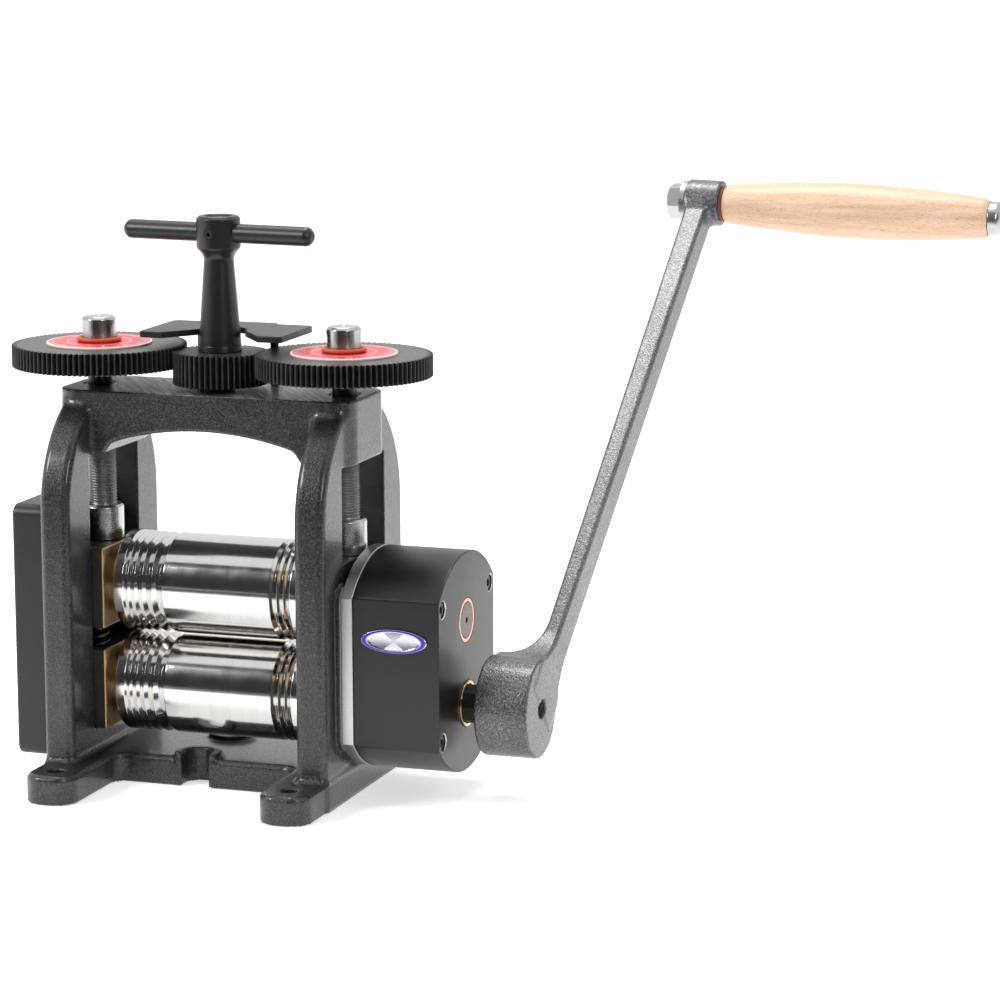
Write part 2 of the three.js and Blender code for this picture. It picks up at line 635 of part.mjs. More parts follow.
// Machined pads that carry the gearbox on the right legs.
function gearboxPads() {
  const boxes = [1, -1].map((side) => {
    const edges = [side * PAD_INNER_Y, side * HOUSING_HALF_WIDTH];
    return block(LEG_OUTER_X - 1, BACKPLATE_X - SEAT_GAP, Math.min(...edges), Math.max(...edges),
      HOUSING_CENTRE_Z - PAD_HALF_HEIGHT, HOUSING_CENTRE_Z + PAD_HALF_HEIGHT);
  });
  return common(join(...boxes), prism(gearboxOutline(), 'x', LEG_OUTER_X - 2, BACKPLATE_X));
}

function frameCasting() {
  const whole = join(castFoot(), castSide(1), castSide(-1), castBridge(), gearboxPads());
  const screwBores = [1, -1].map((side) => drill(
    WINDOW_TOP_Z - 1, BRIDGE_TOP_Z + 1, SCREW_RADIUS + RUNNING_FIT,
    { at: [side * SCREW_X, 0, 0] },
  ));
  const spindleBore = drill(BRIDGE_TOP_Z - SPINDLE_DEPTH - RUNNING_FIT, BRIDGE_TOP_Z + 1,
    SPINDLE_RADIUS + RUNNING_FIT);
  const postBores = [1, -1].map((side) => drill(
    BRIDGE_TOP_Z - INDEX_POST_DEPTH - SEAT_GAP, BRIDGE_TOP_Z + 1, INDEX_POST_RADIUS + PRESS_FIT,
    { at: [side * INDEX_POST_X, INDEX_POST_Y, 0], round: HIDDEN_ROUND },
  ));
  const gearboxHoles = GEARBOX_SCREWS.map(([y, z]) => drill(
    GEARBOX_SCREW_TIP - RUNNING_FIT, BACKPLATE_X + 1, CAP_SCREW_RADIUS + RUNNING_FIT,
    { axis: 'x', at: [0, y, z], round: HIDDEN_ROUND },
  ));
  const coverHoles = COVER_SCREWS.map(([y, z]) => drill(
    -LEG_OUTER_X - 1, COVER_SCREW_TIP + RUNNING_FIT, CAP_SCREW_RADIUS + RUNNING_FIT,
    { axis: 'x', at: [0, y, z], round: HIDDEN_ROUND },
  ));
  return cut(whole, ...screwBores, spindleBore, ...postBores, ...gearboxHoles, ...coverHoles);
}

// A bearing block; its spring pockets are on the face that looks to the other roll.
function bearingBlock(side, axisZ, facing) {
  const from = side > 0 ? BLOCK_INNER_X : -BLOCK_OUTER_X;
  const body = block(from, from + BLOCK_OUTER_X - BLOCK_INNER_X, -BLOCK_HALF_DEPTH,
    BLOCK_HALF_DEPTH, axisZ - BLOCK_HALF_HEIGHT, axisZ + BLOCK_HALF_HEIGHT);
  const bore = drill(-BLOCK_OUTER_X - 1, BLOCK_OUTER_X + 1, JOURNAL_RADIUS + RUNNING_FIT,
    { axis: 'x', at: [0, 0, axisZ], round: LARGE_ROUND });
  const face = axisZ + facing * BLOCK_HALF_HEIGHT;
  const pocketRadius = SPRING_COIL_RADIUS + SPRING_WIRE_RADIUS + 2 * RUNNING_FIT;
  const pockets = [1, -1].map((back) => drill(
    face - facing * SPRING_POCKET_DEPTH, face + facing, pocketRadius,
    { at: [side * SPRING_X, back * SPRING_Y, 0], round: SMALL_ROUND },
  ));
  return cut(body, bore, ...pockets);
}

// V grooves for square wire, from x on, each one wider than the last.
function grooves(x, firstWidth, growth, count) {
  const points = [[x, ROLL_RADIUS]];
  let width = firstWidth;
  for (let i = 0; i < count; i += 1) {
    points.push([x + width / 2, ROLL_RADIUS - width * GROOVE_DEPTH_SHARE]);
    points.push([x + width, ROLL_RADIUS]);
    x += width;
    width *= growth;
  }
  return points;
}

// The roll's turned profile from its gear seat at the left to the end of its right journal.
function rollProfile() {
  const half = ROLL_LENGTH / 2;
  const collar = BLOCK_INNER_X - RUNNING_FIT;
  const seatEnd = ROLL_GEAR_END_X + RUNNING_FIT;
  const fine = grooves(half - FINE_BAND_START, FINE_GROOVE_FIRST, FINE_GROOVE_GROWTH,
    FINE_GROOVE_COUNT).map(([x, radius]) => [2 * (half - FINE_BAND_START) - x, radius]).reverse();
  return [
    [seatEnd, GEAR_SEAT_RADIUS],
    [-JOURNAL_END_X, GEAR_SEAT_RADIUS],
    [-JOURNAL_END_X, JOURNAL_RADIUS],
    [-collar, JOURNAL_RADIUS],
    [-collar, COLLAR_RADIUS],
    [-half, COLLAR_RADIUS],
    [-half, ROLL_RADIUS - ROLL_CHAMFER],
    [-half + ROLL_CHAMFER, ROLL_RADIUS],
    ...grooves(-half + WIRE_BAND_START, WIRE_GROOVE_FIRST, WIRE_GROOVE_GROWTH, WIRE_GROOVE_COUNT),
    ...fine,
    [half - ROLL_CHAMFER, ROLL_RADIUS],
    [half, ROLL_RADIUS - ROLL_CHAMFER],
    [half, COLLAR_RADIUS],
    [collar, COLLAR_RADIUS],
    [collar, JOURNAL_RADIUS],
    [JOURNAL_END_X, JOURNAL_RADIUS],
  ];
}

// The drilled and tapped left end of a roll, for the screw that keeps its gear on.
function endScrewBore(axisZ) {
  const from = ROLL_GEAR_END_X - 1;
  return drill(from, ROLL_GEAR_END_X + END_SCREW_LENGTH + RUNNING_FIT,
    END_SCREW_RADIUS + RUNNING_FIT, { axis: 'x', at: [0, 0, axisZ], round: HIDDEN_ROUND });
}

function upperRoll() {
  const body = turned(rollProfile(), { axis: 'x', at: [0, 0, UPPER_AXIS_Z], round: LARGE_ROUND });
  return cut(body, endScrewBore(UPPER_AXIS_Z));
}

// The lower roll goes on through the backplate as the gearbox's output shaft.
function lowerRoll() {
  const profile = [
    ...rollProfile(),
    [JOURNAL_END_X, OUTPUT_SHAFT_RADIUS],
    [OUTPUT_GEAR_X, OUTPUT_SHAFT_RADIUS],
    [OUTPUT_GEAR_X, GEAR_SEAT_RADIUS],
    [LOWER_ROLL_END_X, GEAR_SEAT_RADIUS],
  ];
  const place = { axis: 'x', at: [0, 0, LOWER_AXIS_Z] };
  const body = turned(profile, { ...place, round: LARGE_ROUND });
  const pilot = drill(LOWER_ROLL_END_X - PILOT_LENGTH, LOWER_ROLL_END_X + 1,
    PILOT_RADIUS + RUNNING_FIT, { ...place, round: HIDDEN_ROUND });
  return cut(body, endScrewBore(LOWER_AXIS_Z), pilot);
}

// The phase turns one gear a half tooth against the other.
function rollGear(axisZ, phase) {
  return spurGear({
    axis: 'x',
    from: ROLL_GEAR_END_X,
    to: ROLL_GEAR_X,
    at: [0, 0, axisZ],
    teeth: ROLL_GEAR_TEETH,
    module: ROLL_GEAR_MODULE,
    backlash: ROLL_GEAR_BACKLASH,
    phase,
    tip: ROLL_GEAR_TIP_RADIUS,
    root: ROLL_GEAR_ROOT_RADIUS,
    stations: [ROLL_GEAR_TEETH * ROLL_GEAR_MODULE / 2],
    bore: GEAR_SEAT_RADIUS + PRESS_FIT,
  });
}

function endScrew(axisZ) {
  const head = ROLL_GEAR_END_X - SEAT_GAP;
  const outer = head - END_SCREW_HEAD_HEIGHT;
  const place = { axis: 'x', at: [0, 0, axisZ], round: SMALL_ROUND };
  const body = turned([
    [outer, END_SCREW_HEAD_RADIUS],
    [head, END_SCREW_HEAD_RADIUS],
    [head, END_SCREW_RADIUS],
    [ROLL_GEAR_END_X + END_SCREW_LENGTH, END_SCREW_RADIUS],
  ], place);
  const socket = rod(outer - 1, outer + END_SCREW_HEAD_HEIGHT * 0.7, END_SCREW_RADIUS * 0.9,
    { ...place, round: 6 });
  return cut(body, socket);
}

// The cover: a deep tray with a screw boss in each corner, open towards the frame. Its top wall
// is cut back round the left screw foot, which rises past it as the rolls open.
function leftCover() {
  const half = COVER_HALF_WIDTH;
  const outer = prism(
    outline(rectangle(-half, COVER_BOTTOM_Z, half, COVER_TOP_Z, COVER_CORNER)),
    'x', COVER_END_X, COVER_START_X + 2 * COVER_EDGE, COVER_EDGE, 1,
  );
  const trim = block(COVER_START_X, COVER_START_X + 3 * COVER_EDGE, -2 * half, 2 * half,
    0, 2 * COVER_TOP_Z);
  const inner = prism(
    outline(rectangle(-half + COVER_WALL, COVER_BOTTOM_Z + COVER_WALL, half - COVER_WALL,
      COVER_TOP_Z - COVER_WALL, COVER_CORNER - COVER_WALL)),
    'x', COVER_END_X + COVER_WALL, COVER_START_X + 1,
  );
  const bosses = COVER_SCREWS.map(([y, z]) => rod(
    COVER_END_X + COVER_WALL / 2, COVER_START_X, COVER_BOSS_RADIUS,
    { axis: 'x', at: [0, y, z], round: SMALL_ROUND },
  ));
  const holes = COVER_SCREWS.map(([y, z]) => capScrewHole(
    COVER_SCREW_FACE, COVER_SCREW_TIP, -1, y, z,
  ));
  const footRoom = rod(COVER_TOP_Z - 2 * COVER_WALL, COVER_TOP_Z + 1,
    SCREW_FOOT_RADIUS + 2 * RUNNING_FIT, { at: [-SCREW_X, 0, 0], round: LARGE_ROUND });
  return cut(join(cut(outer, trim, inner), ...bosses), ...holes, footRoom);
}

function gearboxBackplate() {
  const plate = prism(gearboxOutline(), 'x', BACKPLATE_X, BACKPLATE_X + BACKPLATE_THICKNESS);
  const through = (radius, y, z, round) => drill(
    BACKPLATE_X - 1, BACKPLATE_X + BACKPLATE_THICKNESS + 1, radius, { axis: 'x', at: [0, y, z], round },
  );
  return cut(
    plate,
    through(OUTPUT_SHAFT_RADIUS + RUNNING_FIT, 0, LOWER_AXIS_Z, MEDIUM_ROUND),
    through(COUNTER_TAIL_BUSH_RADIUS + PRESS_FIT, 0, COUNTER_AXIS_Z, MEDIUM_ROUND),
    ...GEARBOX_SCREWS.map(([y, z]) => through(CAP_SCREW_RADIUS + RUNNING_FIT, y, z, HIDDEN_ROUND)),
  );
}

// The tip radius of a standard gear of the train, and the room that the housing leaves it.
function trainRoom(teeth) {
  return TRAIN_MODULE * (teeth / 2 + 1) + TRAIN_RIM_CLEARANCE;
}

function gearboxHousing() {
  const body = prism(gearboxOutline(), 'x', HOUSING_START_X, HOUSING_END_X);
  const room = (teeth, z) => rod(HOUSING_START_X - 1, HOUSING_WALL_X, trainRoom(teeth),
    { axis: 'x', at: [0, 0, z], round: LARGE_ROUND });
  const bore = (radius, z) => drill(HOUSING_WALL_X - 1, HOUSING_END_X + 1, radius,
    { axis: 'x', at: [0, 0, z] });
  return cut(
    body,
    room(COUNTER_GEAR_TEETH, COUNTER_AXIS_Z),
    room(OUTPUT_GEAR_TEETH, LOWER_AXIS_Z),
    bore(CRANK_BUSH_RADIUS + PRESS_FIT, LOWER_AXIS_Z),
    bore(COUNTER_BUSH_RADIUS + PRESS_FIT, COUNTER_AXIS_Z),
    ...GEARBOX_SCREWS.map(([y, z]) => capScrewHole(GEARBOX_SCREW_FACE, GEARBOX_SCREW_TIP, 1, y, z)),
  );
}

function badgePlate() {
  const oval = Array.from({ length: MEDIUM_ROUND }, (_, i) => {
    const angle = 2 * Math.PI * i / MEDIUM_ROUND;
    return [
      BADGE_X + BADGE_LENGTH / 2 * Math.cos(angle),
      BADGE_Z + BADGE_HEIGHT / 2 * Math.sin(angle),
    ];
  });
  const face = -HOUSING_HALF_WIDTH - SEAT_GAP;
  return prism(outline(oval), 'y', face - BADGE_THICKNESS, face);
}

function trainGear(teeth, from, to, axisZ, phase, bore) {
  return spurGear({
    axis: 'x',
    from,
    to,
    at: [0, 0, axisZ],
    teeth,
    module: TRAIN_MODULE,
    backlash: TRAIN_BACKLASH,
    phase,
    bore,
  });
}

// The countershaft with the pinion cut on it.
function counterShaft() {
  const place = { axis: 'x', at: [0, 0, COUNTER_AXIS_Z] };
  const pinionEnd = COUNTER_GEAR_X - SEAT_GAP - TRAIN_SPACING;
  const body = turned([
    [BACKPLATE_X + SEAT_GAP, COUNTER_TAIL_RADIUS],
    [HOUSING_START_X + 1, COUNTER_TAIL_RADIUS],
    [HOUSING_START_X + 1, GEAR_SEAT_RADIUS],
    [COUNTER_GEAR_END_X + RUNNING_FIT, GEAR_SEAT_RADIUS],
    [COUNTER_GEAR_END_X + RUNNING_FIT, COUNTER_END_RADIUS],
    [HOUSING_END_X, COUNTER_END_RADIUS],
  ], place);
  const teeth = trainGear(COUNTER_PINION_TEETH, OUTPUT_GEAR_X - RUNNING_FIT,
    Math.max(OUTPUT_GEAR_END_X + RUNNING_FIT, pinionEnd), COUNTER_AXIS_Z, -Math.PI / 2);
  const centre = drill(HOUSING_END_X - 2, HOUSING_END_X + 1, COUNTER_CENTRE_RADIUS,
    { ...place, round: SMALL_ROUND });
  return cut(join(body, teeth), centre);
}

// The crankshaft: pilot, pinion, journal and the stub that the crank hub sits on.
function crankShaft() {
  const stubEnd = HUB_START_X + HUB_STUB_LENGTH;
  const place = { axis: 'x', at: [0, 0, LOWER_AXIS_Z] };
  const body = turned([
    [LOWER_ROLL_END_X - PILOT_LENGTH + RUNNING_FIT, PILOT_RADIUS],
    [LOWER_ROLL_END_X + RUNNING_FIT, PILOT_RADIUS],
    [LOWER_ROLL_END_X + RUNNING_FIT, CRANK_SHAFT_RADIUS],
    [HUB_START_X - SEAT_GAP, CRANK_SHAFT_RADIUS],
    [HUB_START_X - SEAT_GAP, HUB_STUB_RADIUS],
    [stubEnd, HUB_STUB_RADIUS],
  ], place);
  const teeth = trainGear(CRANK_PINION_TEETH, CRANK_PINION_X, CRANK_PINION_END_X,
    LOWER_AXIS_Z, Math.PI / 2);
  const tapped = drill(stubEnd - HUB_BOLT_LENGTH, stubEnd + 1, HUB_BOLT_RADIUS + RUNNING_FIT,
    { ...place, round: HIDDEN_ROUND });
  return cut(join(body, teeth), tapped);
}

// The pressure screw, from its spigot in the foot to its neck in the dial cap.
function pressureScrew(side) {
  const start = FOOT_TOP_Z + SEAT_GAP;
  return turned([
    [start - SCREW_SPIGOT_LENGTH, SCREW_SPIGOT_RADIUS],
    [start, SCREW_SPIGOT_RADIUS],
    [start, SCREW_RADIUS - 1],
    [start + 1, SCREW_RADIUS],
    [BRIDGE_TOP_Z, SCREW_RADIUS],
    [BRIDGE_TOP_Z, SCREW_SHANK_RADIUS],
    [DIAL_BOTTOM_Z - SEAT_GAP, SCREW_SHANK_RADIUS],
    [DIAL_BOTTOM_Z - SEAT_GAP, SCREW_NECK_RADIUS],
    [CAP_BOTTOM_Z + CAP_BORE_DEPTH - RUNNING_FIT, SCREW_NECK_RADIUS],
  ], { at: [side * SCREW_X, 0, 0] });
}

function screwFoot(side) {
  const bore = (SCREW_SPIGOT_RADIUS + RUNNING_FIT) / Math.cos(Math.PI / MEDIUM_ROUND);
  const boreBottom = FOOT_TOP_Z + SEAT_GAP - SCREW_SPIGOT_LENGTH - RUNNING_FIT;
  return turned([
    [FOOT_BOTTOM_Z, SCREW_FOOT_RADIUS],
    [FOOT_TOP_Z - 1, SCREW_FOOT_RADIUS],
    [FOOT_TOP_Z, SCREW_FOOT_RADIUS - 1],
    [FOOT_TOP_Z, bore],
    [boreBottom, bore],
  ], { at: [side * SCREW_X, 0, 0] });
}

// A half tooth of turn sets each dial gear in mesh with the pinion between them.
function dialGear(side) {
  return spurGear({
    axis: 'z',
    from: DIAL_BOTTOM_Z,
    to: DIAL_TOP_Z,
    at: [side * SCREW_X, 0, 0],
    teeth: DIAL_TEETH,
    module: DIAL_MODULE,
    backlash: DIAL_BACKLASH,
    phase: (side > 0 ? Math.PI : 0) + Math.PI / DIAL_TEETH,
    root: DIAL_MODULE * DIAL_TEETH / 2 - DIAL_ROOT_DEPTH,
    sharpRoot: true,
    bore: SCREW_NECK_RADIUS + PRESS_FIT,
  });
}

function dialLabel(side) {
  return sleeve(LABEL_BOTTOM_Z, LABEL_BOTTOM_Z + LABEL_THICKNESS, LABEL_RADIUS,
    SCREW_NECK_RADIUS + PRESS_FIT, { at: [side * SCREW_X, 0, 0], round: LARGE_ROUND });
}

function dialOring(side) {
  const middle = CAP_RADIUS + RUNNING_FIT + ORING_SECTION_RADIUS;
  return new THREE.TorusGeometry(middle, ORING_SECTION_RADIUS, 5, MEDIUM_ROUND)
    .translate(side * SCREW_X, 0, CAP_BOTTOM_Z + ORING_SECTION_RADIUS);
}

function dialCap(side) {
  const bore = (SCREW_NECK_RADIUS + PRESS_FIT) / Math.cos(Math.PI / MEDIUM_ROUND);
  const top = CAP_BOTTOM_Z + CAP_HEIGHT;
  return turned([
    [CAP_BOTTOM_Z + CAP_BORE_DEPTH, bore],
    [CAP_BOTTOM_Z, bore],
    [CAP_BOTTOM_Z, CAP_RADIUS],
    [top - CAP_CHAMFER, CAP_RADIUS],
    [top, CAP_RADIUS - CAP_CHAMFER],
    [top, 2],
    [top - 1.2, 0],
  ], { at: [side * SCREW_X, 0, 0] });
}

function pinionGear() {
  return spurGear({
    axis: 'z',
    from: PINION_BOTTOM_Z,
    to: PINION_TOP_Z,
    at: [0, 0, 0],
    teeth: PINION_TEETH,
    module: DIAL_MODULE,
    backlash: DIAL_BACKLASH,
    phase: 0,
    root: DIAL_MODULE * PINION_TEETH / 2 - DIAL_ROOT_DEPTH,
    sharpRoot: true,
    bore: SPINDLE_RADIUS + PRESS_FIT,
  });
}

// The tee handle's stem with its spindle, drilled for the bar and the grub screw.
function teeStem() {
  const body = turned([
    [BRIDGE_TOP_Z - SPINDLE_DEPTH, SPINDLE_RADIUS],
    [PINION_TOP_Z + SEAT_GAP, SPINDLE_RADIUS],
    [PINION_TOP_Z + SEAT_GAP, STEM_FOOT_RADIUS],
    [STEM_NECK_Z, STEM_NECK_RADIUS],
    [STEM_HEAD_Z, STEM_HEAD_RADIUS],
    [STEM_TOP_Z - 1.5, STEM_HEAD_RADIUS],
    [STEM_TOP_Z, STEM_HEAD_RADIUS - 1.5],
    [STEM_TOP_Z, STEM_TOP_RECESS_RADIUS],
    [STEM_TOP_Z - STEM_TOP_RECESS, STEM_TOP_RECESS_RADIUS - STEM_TOP_RECESS],
  ]);
  const bar = drill(-2 * STEM_HEAD_RADIUS, 2 * STEM_HEAD_RADIUS, TEE_BAR_RADIUS + PRESS_FIT,
    { axis: 'x', at: [0, 0, TEE_BAR_Z], round: SMALL_ROUND });
  const grub = drill(-2 * STEM_HEAD_RADIUS, 0, GRUB_RADIUS + PRESS_FIT,
    { axis: 'y', at: [0, 0, TEE_BAR_Z], round: SMALL_ROUND });
  return cut(body, bar, grub);
}

function teeBar() {
  const half = TEE_BAR_LENGTH / 2;
  const edge = TEE_BAR_RADIUS * 0.35;
  const middle = TEE_BAR_RADIUS * 0.88;
  return turned([
    [-half, TEE_BAR_RADIUS - 1.6 * edge],
    [-half + 0.4 * edge, middle],
    [-half + 1.6 * edge, TEE_BAR_RADIUS],
    [half - 1.6 * edge, TEE_BAR_RADIUS],
    [half - 0.4 * edge, middle],
    [half, TEE_BAR_RADIUS - 1.6 * edge],
  ], { axis: 'x', at: [0, 0, TEE_BAR_Z], round: SMALL_ROUND });
}

function teeGrubScrew() {
  const outer = STEM_HEAD_RADIUS * Math.cos(Math.PI / MEDIUM_ROUND) - SEAT_GAP;
  const place = { axis: 'y', at: [0, 0, TEE_BAR_Z] };
  const body = rod(-outer, -TEE_BAR_RADIUS - SEAT_GAP, GRUB_RADIUS, { ...place, round: SMALL_ROUND });
  return cut(body, rod(-outer - 1, -outer + GRUB_RADIUS, GRUB_RADIUS / 2, { ...place, round: 6 }));
}

// The index plate in plan: a wide back and two arms that reach forward past the tee stem.
function indexPlate() {
  const half = INDEX_HALF_LENGTH;
  const slot = arc(0, INDEX_SLOT_Y, INDEX_SLOT_RADIUS, Math.PI, 0, 8);
  const outer = rounded([
    [INDEX_MOUTH_HALF, INDEX_FRONT_Y - 0.5],
    [half, INDEX_FRONT_Y, 2],
    [half, INDEX_BACK_Y, 4],
    [INDEX_TAIL_HALF, INDEX_BACK_Y],
    [INDEX_TAIL_HALF - 1, INDEX_TAIL_Y],
    [-INDEX_TAIL_HALF + 1, INDEX_TAIL_Y],
    [-INDEX_TAIL_HALF, INDEX_BACK_Y],
    [-half, INDEX_BACK_Y, 4],
    [-half, INDEX_FRONT_Y, 2],
    [-INDEX_MOUTH_HALF, INDEX_FRONT_Y - 0.5],
  ]);
  const plate = prism(outline([...outer, ...slot]), 'z', INDEX_PLATE_Z,
    INDEX_PLATE_Z + INDEX_PLATE_THICKNESS);
  const holes = [1, -1].map((side) => drill(
    INDEX_PLATE_Z - 1, INDEX_PLATE_Z + INDEX_PLATE_THICKNESS + 1, INDEX_SPIGOT_RADIUS + PRESS_FIT,
    { at: [side * INDEX_POST_X, INDEX_POST_Y, 0], round: SMALL_ROUND },
  ));
  return cut(plate, ...holes);
}

function indexPost(side) {
  const shoulder = INDEX_PLATE_Z - SEAT_GAP;
  return turned([
    [BRIDGE_TOP_Z - INDEX_POST_DEPTH, INDEX_POST_RADIUS],
    [shoulder, INDEX_POST_RADIUS],
    [shoulder, INDEX_SPIGOT_RADIUS],
    [INDEX_PLATE_Z + INDEX_PLATE_THICKNESS, INDEX_SPIGOT_RADIUS],
  ], { at: [side * INDEX_POST_X, INDEX_POST_Y, 0], round: SMALL_ROUND });
}

// The springs that lift the upper roll stand in pockets of the blocks.
const SPRING_BOTTOM_Z = LOWER_AXIS_Z + BLOCK_HALF_HEIGHT - SPRING_POCKET_DEPTH + SEAT_GAP;
const SPRING_TOP_Z = UPPER_AXIS_Z - BLOCK_HALF_HEIGHT + SPRING_POCKET_DEPTH - SEAT_GAP;
const SPRING_STEPS = 8;
const SPRING_SIDES = 5;

function springPoint(turn) {
  const low = SPRING_BOTTOM_Z + SPRING_WIRE_RADIUS;
  const high = SPRING_TOP_Z - SPRING_WIRE_RADIUS;
  const angle = 2 * Math.PI * turn;
  return new THREE.Vector3(
    SPRING_COIL_RADIUS * Math.cos(angle),
    SPRING_COIL_RADIUS * Math.sin(angle),
    low + (high - low) * turn / SPRING_TURNS,
  );
}

// One unbroken tube along the helix, capped at both ends.
function liftingSpring(sideX, sideY) {
  const rings = SPRING_TURNS * SPRING_STEPS;
  const vertices = [];
  const faces = [];
  for (let i = 0; i <= rings; i += 1) {
    const turn = i / SPRING_STEPS;
    const middle = springPoint(turn);
    const outward = new THREE.Vector3(middle.x, middle.y, 0).normalize();
    const along = springPoint(turn + 0.01).sub(springPoint(turn - 0.01)).normalize();
    const upward = new THREE.Vector3().crossVectors(outward, along);
    for (let k = 0; k < SPRING_SIDES; k += 1) {
      const angle = 2 * Math.PI * k / SPRING_SIDES;
      const point = middle.clone()
        .addScaledVector(outward, SPRING_WIRE_RADIUS * Math.cos(angle))
        .addScaledVector(upward, SPRING_WIRE_RADIUS * Math.sin(angle));
      vertices.push(point.x, point.y, point.z);
    }
  }
  for (let i = 0; i < rings; i += 1) {
    for (let k = 0; k < SPRING_SIDES; k += 1) {
      const next = (k + 1) % SPRING_SIDES;
      const [a, b] = [i * SPRING_SIDES + k, i * SPRING_SIDES + next];
      faces.push(a, b, a + SPRING_SIDES, b, b + SPRING_SIDES, a + SPRING_SIDES);
    }
  }
  for (let k = 1; k < SPRING_SIDES - 1; k += 1) {
    const last = rings * SPRING_SIDES;
    faces.push(0, k + 1, k, last, last + k, last + k + 1);
  }
  const geometry = new THREE.BufferGeometry();
  geometry.setAttribute('position', new THREE.Float32BufferAttribute(vertices, 3));
  geometry.setIndex(faces);
  return geometry.translate(sideX * SPRING_X, sideY * SPRING_Y, 0);
}

// The least gap of a spring to itself, between points half a turn or more apart.
function springGap() {
  const count = SPRING_TURNS * SPRING_STEPS;
  let least = Infinity;
  for (let i = 0; i <= count; i += 1) {
    for (let k = i + SPRING_STEPS / 2; k <= count; k += 1) {
      const apart = springPoint(i / SPRING_STEPS).distanceTo(springPoint(k / SPRING_STEPS));
      least = Math.min(least, apart - 2 * SPRING_WIRE_RADIUS);
    }
  }
  return least;
}
console.log(`lifting spring, least gap between its turns: ${springGap().toFixed(2)} mm`);

// The crank arm in its own plane: X across it, u up it from the hub axis, v to its side.
function crankArm() {
  const slope = Math.tan(SPLAY);
  const topX = HUB_END_X + CRANK_REACH * Math.sin(SPLAY);
  const topU = CRANK_REACH * Math.cos(SPLAY);
  const hub = turned([
    [HUB_START_X, HUB_RADIUS - HUB_CHAMFER],
    [HUB_START_X + HUB_CHAMFER, HUB_RADIUS],
    [HUB_END_X - HUB_CHAMFER, HUB_RADIUS],
    [HUB_END_X, HUB_RADIUS - HUB_CHAMFER],
  ], { axis: 'x', round: LARGE_ROUND });
  const filletEnd = HUB_RADIUS - 2 + ARM_ROOT_FILLET_U;
  const filletX = HUB_END_X + filletEnd * slope - ARM_ROOT_THICKNESS - ARM_ROOT_FILLET_X;
  const fillet = Array.from({ length: ARM_ROOT_STEPS + 1 }, (_, i) => {
    const angle = Math.PI / 2 * i / ARM_ROOT_STEPS;
    return [
      filletX + ARM_ROOT_FILLET_X * Math.sin(angle),
      filletEnd - ARM_ROOT_FILLET_U * Math.cos(angle),
    ];
  });
  const profile = outline([
    [HUB_END_X, 0],
    [topX, topU],
    [topX - ARM_TOP_THICKNESS, topU],
    ...fillet.toReversed(),
    [HUB_START_X + HUB_CHAMFER, HUB_RADIUS - 2],
    [HUB_START_X + HUB_CHAMFER, 0],
  ]);
  const lean = THREE.MathUtils.degToRad(48);
  const hubSide = [HUB_RADIUS * Math.sin(lean), HUB_RADIUS * Math.cos(lean)];
  const armSide = [ARM_ROOT_WIDTH / 2, HUB_RADIUS * Math.cos(lean) + ARM_ROOT_FILLET_U];
  const bend = hubSide[1] + (hubSide[0] - armSide[0]) * Math.tan(lean);
  const neck = new THREE.QuadraticBezierCurve(
    new THREE.Vector2(...hubSide),
    new THREE.Vector2(armSide[0], bend),
    new THREE.Vector2(...armSide),
  ).getPoints(ARM_ROOT_STEPS).map((point) => [point.x, point.y]);
  const right = [[HUB_RADIUS * Math.sin(lean), 0], ...neck, [ARM_TOP_WIDTH / 2, topU]];
  const front = outline([...right, ...right.map(([v, u]) => [-v, u]).reverse()]);
  const arm = common(
    prism(profile, 'y', -2 * HUB_RADIUS, 2 * HUB_RADIUS),
    prism(front, 'x', HUB_START_X - 1, topX + BOSS_LENGTH),
  );
  const tilted = (geometry) => geometry.rotateY(SPLAY).translate(topX, 0, topU);
  const boss = tilted(rod(BOSS_PROUD - BOSS_LENGTH, BOSS_PROUD, BOSS_RADIUS, { axis: 'x' }));
  const rodBore = tilted(drill(-BOSS_LENGTH, BOSS_LENGTH, ROD_RADIUS + RUNNING_FIT,
    { axis: 'x', round: SMALL_ROUND }));
  const webEnd = HUB_START_X + HUB_STUB_LENGTH + RUNNING_FIT;
  return cut(
    join(hub, arm, boss),
    rodBore,
    drill(HUB_START_X - 1, webEnd, HUB_STUB_RADIUS + PRESS_FIT, { axis: 'x' }),
    drill(webEnd - 1, HUB_END_X, HUB_BOLT_RADIUS + RUNNING_FIT, { axis: 'x', round: SMALL_ROUND }),
    drill(webEnd + HUB_BOLT_WEB, HUB_END_X + 1, HUB_BOLT_HOLE_RADIUS, { axis: 'x' }),
  );
}

function crankBolt() {
  const seat = HUB_START_X + HUB_STUB_LENGTH + RUNNING_FIT + HUB_BOLT_WEB + SEAT_GAP;
  const head = seat + HUB_BOLT_HEAD_HEIGHT;
  const body = turned([
    [seat - HUB_BOLT_LENGTH, HUB_BOLT_RADIUS],
    [seat, HUB_BOLT_RADIUS],
    [seat, HUB_BOLT_HOLE_RADIUS - RUNNING_FIT],
    [head, HUB_BOLT_HOLE_RADIUS - RUNNING_FIT],
  ], { axis: 'x', round: SMALL_ROUND });
  return cut(body, rod(head - HUB_BOLT_HEAD_HEIGHT / 2, head + 1, HUB_BOLT_RADIUS * 0.8,
    { axis: 'x', round: 6 }));
}

// Stations along the handle's rod, from the arm's outer face outwards
const WASHER_START = BOSS_PROUD - BOSS_LENGTH - SEAT_GAP - WASHER_THICKNESS;
const NUT_START = WASHER_START - SEAT_GAP - NUT_HEIGHT;
const FIBRE_START = BOSS_PROUD + SEAT_GAP;
const GRIP_START = FIBRE_START + FIBRE_THICKNESS + SEAT_GAP;
const ROD_HEAD_START = GRIP_START + GRIP_LENGTH + RUNNING_FIT;

